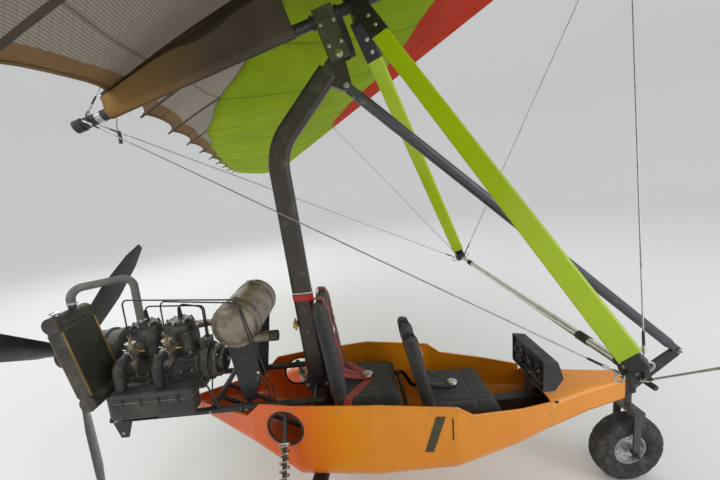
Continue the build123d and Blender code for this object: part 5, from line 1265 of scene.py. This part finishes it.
def add_cylinder_trim(x, bright, zinc, brassy, dark):
    """Head nuts, base nuts, plug cap and the carburettor's clamps, screws, unions and bail."""
    for spot in circle(Vector((x, 0, HEAD_TOP + 0.013)), X * 0.060, Y * 0.060, 8):
        bright.turned(spot, Z, [(0, 0.0048), (0.007, 0.0046), (0.008, 0.0035)], 12)
    zinc.bolts([(x + dx, dy, 1.044) for dx in (-0.064, 0.064) for dy in (-0.072, 0.072)], Z, 0.013, 0.008,
               0.006)
    dark.turned((x, 0.018, 1.206), Z, [(0, 0.0128), (0.006, 0.0132), (0.014, 0.0112), (0.030, 0.0098),
                                       (0.046, 0.0086), (0.052, 0.0062)], 20)
    for y, radius in ((-0.0865, 0.0232), (-0.1055, 0.0236), (-0.178, 0.0234)):
        bright.clamp((x, y, PORT_Z), -Y, radius)
    carb = Vector((x, -0.140, PORT_Z))
    brassy.bolts([carb - Z * 0.0665], -Z, 0.015, 0.007, 0.0, False)
    brassy.bolts([carb + Z * 0.0585], Z, 0.012, 0.010, 0.006, False)
    brassy.turned(carb + X * 0.0375 + Z * 0.012, X, [(0, 0.004), (0.006, 0.004), (0.006, 0.0062),
                                                     (0.010, 0.0062), (0.010, 0.003), (0.026, 0.003)], 12)
    bright.turned(carb - X * 0.021 + Z * 0.018, (-1, 0, 0.25), [(0, 0.003), (0.016, 0.003), (0.016, 0.005),
                                                                (0.020, 0.005)], 10)
    bail = [pi * k / 14 for k in range(15)]
    bright.pipe([carb - Y * (0.0255 * cos(t)) - Z * (0.030 + 0.038 * sin(t)) for t in bail], 0.0013, 6)
    zinc.bolts([(x + dx, 0.0875, 1.090) for dx in (-0.034, 0.034)], Y, 0.013, 0.008, 0.006)


def add_engine_trim():
    bright, zinc, brassy, dark = (Shapes() for _ in range(4))
    flange = Vector((GEARBOX_REAR_X - 0.0002, 0, PROP_Z))
    bright.bolts(circle(flange, Z * 0.070, Y * -0.070, 10), -X, 0.0165, 0.010, 0.012)
    for t in around(14):
        middle, radius = (PROP_Z, 0.1045) if cos(t) > -0.1 else (CRANK_Z, 0.0925)
        zinc.bolts([(-1.0778, radius * sin(t), middle + radius * cos(t))], -X, 0.010, 0.006)
    zinc.bolts([(-1.035 + 0.054 * k, side * 0.1095, CRANK_Z + 0.006) for k in range(7) for side in SIDES],
               Z, 0.010, 0.006, 0.004)
    for x in CYLINDERS_X:
        add_cylinder_trim(x, bright, zinc, brassy, dark)
    magneto = Vector((ENGINE_X + 0.290, 0, CRANK_Z))
    dark.turned(magneto, X, [(0, 0.0575), (0.004, 0.0570), (0.007, 0.050), (0.008, 0.020), (0.010, 0.018),
                             (0.011, 0.002)], 36)
    for way in circle(Vector(), Z, Y, 12):
        dark.strap([magneto + X * 0.0085 + way * 0.022, magneto + X * 0.0078 + way * 0.048], 0.004, 0.003,
                   way.cross(X))
    bright.bolts([magneto + X * 0.010], X)
    corner = 0.074 * sqrt(0.5)
    zinc.bolts([magneto - X * 0.024 + (Y * y + Z * z) * corner for y in SIDES for z in SIDES], X, 0.010,
               0.005)
    zinc.bolts([(-0.654, y, 1.088) for y in (-0.024, 0.024)], Z, 0.008, 0.004)
    bright.piece("engine_bright", "trike", "bright_steel")
    zinc.piece("engine_bolts", "trike", "zinc_steel")
    brassy.piece("engine_brass", "trike", "brass")
    dark.piece("engine_rubber", "trike", "black_rubber")


def add_cooling_trim():
    """Hose clamps, and the radiator's fins, tubes, side plates and cap, and brass-coloured strips of painted
    sun glint down the side plates' edges.
    """
    clamps, fins, tubes, plates, glints, cap = (Shapes() for _ in range(6))

    def lay(shapes, x, y, z, size, edge=0.0007):
        shapes.block(RADIATOR + RADIATOR_LEAN @ Vector((x, y, z)), size, RADIATOR_LEAN, edge)

    for spot, axis, radius in HOSE_CLAMPS:
        clamps.clamp(spot, axis, radius)
    for side in SIDES:
        lay(fins, side * 0.0284, 0, 0, (0.0010, 0.182, 0.300), 0.0003)
        for k in range(30):
            lay(tubes, side * 0.0294, 0, -0.142 + 0.0098 * k, (0.0024, 0.184, 0.0028))
        lay(plates, 0, side * 0.0962, 0, (0.060, 0.0022, 0.300))
        # painted highlight: brass-coloured strips down the side plates' edges stand in for sunlight glinting
        # there
        for x in (0.0305, -0.0305):
            lay(glints, x, side * 0.0925, 0, (0.0022, 0.0095, 0.300))
    clamps.piece("hose_clamps", "trike", "bright_steel")
    fins.piece("radiator_fins", "trike", "fin_pack")
    tubes.piece("radiator_tubes", "trike", "radiator_black")
    plates.piece("radiator_plates", "trike", "radiator_black")
    glints.piece("radiator_edge_glints", "trike", "sun_glint_paint")
    top = Vector((-1.1407, -0.285, 1.3659))
    cap.turned(top, Z, [(0, 0.014), (0.008, 0.014), (0.008, 0.021), (0.012, 0.022), (0.015, 0.020),
                        (0.017, 0.012), (0.019, 0.003)], 28)
    for side in SIDES:
        cap.block(top + X * side * 0.020 + Z * 0.011, (0.012, 0.009, 0.004), edge=0.001)
    cap.piece("radiator_cap", "trike", "bright_steel")


def add_airbox_trim():
    seam, clips = Shapes(), Shapes()
    outline = [squircle(t, 0.35) for t in around(64)]
    # painted highlight: the bead round the airbox's seam is pale grey to stand in for light along its edge
    seam.pipe([(AIRBOX_X + x * (AIRBOX_HALF_X + 0.001), AIRBOX_Y + y * (AIRBOX_HALF_Y + 0.001), AIRBOX_SEAM_Z)
               for x, y in outline], 0.0032, 8, loop=True)
    for x in (-0.93, -0.85, -0.77, -0.69):
        face = Vector((x, AIRBOX_Y - AIRBOX_HALF_Y, AIRBOX_SEAM_Z))
        clips.block(face - Y * 0.0035, (0.014, 0.004, 0.030), edge=0.0015)
        clips.pipe([face + X * dx - Y * out + Z * up for dx, out, up in
                    ((-0.005, 0.003, 0.014), (0, 0.008, 0.018), (0.005, 0.003, 0.014))], 0.0014, 6)
    seam.piece("airbox_highlight_bead", "trike", "box_painted_highlight")
    clips.piece("airbox_clips", "trike", "black_plastic")


def add_silencer_trim():
    """Weld beads, strap lugs, springs at the inlet cone and the dark tail end."""
    welds, springs, tip = Shapes(), Shapes(), Shapes()
    for y, r in ((-0.176, 0.108), (0.206, 0.108), (-0.198, 0.0975), (0.228, 0.0975)):
        welds.pipe([SILENCER + Y * y + (X * cos(t) + Z * sin(t)) * (r + 0.0006 * sin(23 * t))
                    for t in around(90)], 0.0022, 6, loop=True)
    flank = SILENCER + (X * cos(0.9) + Z * sin(0.9)) * 0.1075
    welds.pipe([flank + Y * (-0.174 + 0.02 * k) for k in range(20)], 0.0020, 6)
    for y in (-0.120, 0.140):
        lug = SILENCER + Vector((0, y, 0.1185))
        welds.block(lug, (0.030, 0.016, 0.012))
        springs.bolts([lug + X * 0.015], X, 0.010, 0.005, 0.004)
        springs.bolts([lug - X * 0.015], -X, 0.010, 0.005)
    for z, toward in ((1.124, -0.014), (1.056, 0.014)):
        springs.pipe(helix(Vector((-0.632, 0.200, z)), Vector((-0.580, 0.200, z)), Y * 0.0055, Z * 0.0055,
                           12, 8), 0.0011, 6)
        for x in (-0.634, -0.578):
            springs.pipe([(x, 0.200, z), (x, 0.200, z + toward)], 0.0016, 6)
    welds.piece("silencer_welds", "trike", "exhaust_steel")
    springs.piece("exhaust_springs", "trike", "bright_steel")
    tip.turned((-0.292, -0.170, 1.140), X, [(0, 0.0242), (0.002, 0.0252), (0.0395, 0.0252), (0.0415, 0.0246),
                                            (0.0415, 0.0212), (0.0, 0.0212)], 28, caps=False)
    tip.piece("tail_tip", "trike", "sooty_steel")


def add_wiring():
    """The loom, its hanging ring of spare cable and the cable ties."""
    loom, ties = Shapes(), Shapes()
    ring = []
    for k in range(45):
        t = k / 44 * 2 * pi * 1.6 + 1.2
        radius = 0.058 + 0.006 * sin(2.3 * t)
        ring.append(LOOM_HUB + Vector((radius * cos(t), -0.006 + 0.0032 * t, radius * sin(t))))
    start = [(-0.655, -0.036, 1.060), (-0.648, -0.090, 1.070), (-0.664, -0.150, 1.075)]
    finish = [(-0.640, -0.190, 0.975), (-0.600, -0.190, 0.900), (-0.575, -0.186, 0.830),
              (-0.520, -0.199, 0.800), (-0.300, -0.199, 0.794), (-0.160, -0.199, 0.792)]
    second = [(-0.655, -0.020, 1.060), (-0.630, -0.070, 1.010), (-0.612, -0.120, 0.930),
              (-0.598, -0.176, 0.850), (-0.548, -0.196, 0.808), (-0.300, -0.2035, 0.801),
              (-0.160, -0.2035, 0.799)]
    loom.pipe(eased(start + ring[::4] + finish), 0.0042, 8)
    loom.pipe(eased(second), 0.0034, 8)
    loom.piece("wiring_loom", "trike", "cable_black")
    for x in (-0.46, -0.36, -0.24):
        ties.collar((x, -0.1895, 0.7925), X, 0.0205, 0.0212, 0.004, 0.0003, 22)
    ties.block(ring[12] + Y * 0.002, (0.012, 0.020, 0.008), edge=0.001)
    ties.piece("cable_ties", "trike", "black_plastic")


def add_prop_nuts():
    nuts = Shapes()
    nuts.bolts(circle(Vector((PROP_X - 0.0285, 0, PROP_Z)), Z * 0.050, Y * -0.050, 6), -X, 0.013, 0.008)
    nuts.piece("prop_nuts", "propeller", "bright_steel")


add_engine_trim()
add_cooling_trim()
add_airbox_trim()
add_silencer_trim()
add_wiring()
add_prop_nuts()

# Seats: padded cushions, seams and harness

SEATS = [
    # name, CAD node, harness, base x, base z, cushion depth, back height, back's lean in degrees
    ("rear", "seat_rear", "red_web", -0.0178, 0.7003, 0.330, 0.560, 7.0),
    ("front", "seat_front", "black_web", 0.4380, 0.6063, 0.370, 0.440, 12.0),
]
SEAT_WIDTH = 0.400
CUSHION = 0.074
BACK_THICK = 0.062
PUFF = 0.007
PUFF_CAP = 0.009
VOXEL = 0.0062
GROOVE_DEPTH = 0.0065
BELT_WIDTH, BELT_THICK = 0.040, 0.0022
CLOTH_FRAMES = 20


def back_frame(base_x, base_z, lean):
    """The backrest's own frame: its foot at the seat's base, leaning back."""
    return Matrix.Translation((base_x, 0, base_z + 0.010)) @ Matrix.Rotation(radians(-lean), 4, "Y")


def rounded_pad(solid, size, edge, matrix):
    verts = bmesh.ops.create_cube(solid, size=1.0)["verts"]
    bmesh.ops.scale(solid, vec=Vector([length - 2 * PUFF for length in size]), verts=verts)
    edges = list({rib for v in verts for rib in v.link_edges})
    made = bmesh.ops.bevel(solid, geom=edges, offset=edge, segments=3, profile=0.5, affect="EDGES")
    moved = {v for face in made["faces"] for v in face.verts} | {v for v in verts if v.is_valid}
    bmesh.ops.transform(solid, matrix=matrix, verts=list(moved))


def apply(made, kind, **settings):
    """Gives a piece the mesh that it has after one modifier."""
    modifier = made.modifiers.new("step", kind)
    for key, value in settings.items():
        setattr(modifier, key, value)
    made.data = bpy.data.meshes.new_from_object(made.evaluated_get(bpy.context.evaluated_depsgraph_get()))
    made.modifiers.remove(modifier)


def swell(made):
    """Blows the pad's cloth up by simulation, with no point moved further than the cap."""
    before = [v.co.copy() for v in made.data.vertices]
    cloth = made.modifiers.new("cloth", "CLOTH")
    cloth.settings.quality = 4
    cloth.settings.use_pressure = True
    cloth.settings.uniform_pressure_force = 4.0
    cloth.settings.effector_weights.gravity = 0.0
    cloth.settings.tension_stiffness = 12
    cloth.settings.bending_stiffness = 0.6
    cloth.point_cache.frame_start = 1
    cloth.point_cache.frame_end = CLOTH_FRAMES
    for number in range(1, CLOTH_FRAMES + 1):
        scene.frame_set(number)
    evaluated = made.evaluated_get(bpy.context.evaluated_depsgraph_get())
    after = [v.co.copy() for v in evaluated.data.vertices]
    made.modifiers.remove(cloth)
    scene.frame_set(1)
    for vert, old, new in zip(made.data.vertices, before, after):
        move = new - old
        vert.co = old + move * min(1.0, PUFF_CAP / max(move.length, PUFF_CAP))
    made.data.update()


def press_grooves(mesh, base_x, base_z, depth, height, lean):
    """Seams across the cushion and the back, and one along each side of both."""
    local = back_frame(base_x, base_z, lean).inverted()
    for vert in mesh.vertices:
        spot, normal = local @ vert.co, vert.normal
        if spot.x < BACK_THICK + 0.010 and spot.z > 0.075:
            along, rows = spot.z, [height * share for share in (0.34, 0.56, 0.78)]
            facing = normal.x * cos(radians(lean)) + normal.z * sin(radians(lean))
        else:
            along, rows, facing = vert.co.x - base_x, [depth * 0.36, depth * 0.68], normal.z
        groove = max([1 - abs(along - row) / 0.011 for row in rows]
                     + [1 - abs(vert.co.y - seam) / 0.010 for seam in (-0.135, 0.135)])
        if groove > 0 and facing > 0.25:
            vert.co = vert.co - normal * (GROOVE_DEPTH * groove * groove * facing)


def add_seat(name, node, base_x, base_z, depth, height, lean):
    solid = bmesh.new()
    rounded_pad(solid, (depth, SEAT_WIDTH, CUSHION), 0.022,
                Matrix.Translation((base_x + depth / 2 + 0.012, 0, base_z + CUSHION / 2)))
    rounded_pad(solid, (BACK_THICK, SEAT_WIDTH - 0.020, height - 0.024), 0.020,
                back_frame(base_x, base_z, lean) @ Matrix.Translation((BACK_THICK / 2 - 0.002, 0,
                                                                       height / 2 + 0.012)))
    mesh = bpy.data.meshes.new("seat_pads_" + name)
    solid.to_mesh(mesh)
    solid.free()
    made = linked("seat_pads_" + name, mesh)
    apply(made, "REMESH", mode="VOXEL", voxel_size=VOXEL)
    swell(made)
    press_grooves(made.data, base_x, base_z, depth, height, lean)
    made.data.materials.clear()
    made.data.materials.append(finishes["seat_black"])
    made.data.polygons.foreach_set("use_smooth", [True] * len(made.data.polygons))
    made.data.update()
    apply(made, "SUBSURF", levels=1, render_levels=1)
    settled(made, "trike", [node])
    return made


def laid(tree, line, way, lift=0.003):
    """The points pushed against a surface along a direction, and lifted off it."""
    hits = [tree.ray_cast(point - way * 0.25, way, 0.6)[0] for point in line]
    return [hit - way * lift for hit in hits if hit]


def add_harness(pads, name, web, base_x, base_z, height, lean):
    tree = tree_of(pads.data)
    back = back_frame(base_x, base_z, lean)
    ahead = (back.to_3x3() @ X).normalized()
    belts, buckle = Shapes(), Shapes()
    hub = laid(tree, [Vector((base_x + 0.175, 0, base_z + CUSHION + 0.05))], -Z, 0.012)[0]
    for side in SIDES:
        face = [back @ Vector((BACK_THICK, side * (0.085 - 0.060 * (1 - k / 14)),
                               0.10 + (height - 0.125) * k / 14)) for k in range(15)]
        line = laid(tree, face, -ahead)
        over = [back @ Vector((x, side * y, z)) for x, y, z in (
            (BACK_THICK * 0.85, 0.085, height - 0.004), (BACK_THICK * 0.45, 0.085, height + 0.006),
            (0.004, 0.083, height - 0.004), (-0.006, 0.075, height * 0.86), (-0.006, 0.065, height * 0.62))]
        low = [hub + Vector((0.0, side * 0.012, 0.004)), hub + Vector((-0.05, side * 0.018, 0.006))]
        belts.strap(eased(low + line + over, 3), BELT_WIDTH, BELT_THICK, Y)
        lap = laid(tree, [hub + Vector((-0.002 - 0.02 * k, side * (0.03 + 0.026 * k), 0.05))
                          for k in range(6)], -Z)
        edge_x = lap[-1].x
        lap += [Vector((edge_x - 0.012, side * 0.2015, base_z + CUSHION * 0.80)),
                Vector((edge_x - 0.018, side * 0.2035, base_z + CUSHION * 0.30)),
                Vector((edge_x - 0.020, side * 0.2000, base_z - 0.010))]
        belts.strap(eased([hub + Vector((0, side * 0.014, 0.002))] + lap, 3), BELT_WIDTH, BELT_THICK, X)
        buckle.block(line[9] + ahead * 0.003, (0.005, 0.050, 0.030), back.to_3x3(), 0.0018)
    buckle.turned(hub, Z, [(0, 0.030), (0.010, 0.030), (0.014, 0.027), (0.016, 0.020), (0.017, 0.003)], 32)
    buckle.block(hub + Z * 0.017, (0.050, 0.010, 0.008), edge=0.003)
    belts.piece("harness_" + name, "trike", web)
    buckle.piece("harness_buckles_" + name, "trike", "bright_steel")


for seat, seat_node, seat_web, seat_x, seat_z, seat_depth, seat_height, seat_lean in SEATS:
    seat_pads = add_seat(seat, seat_node, seat_x, seat_z, seat_depth, seat_height, seat_lean)
    add_harness(seat_pads, seat, seat_web, seat_x, seat_z, seat_height, seat_lean)
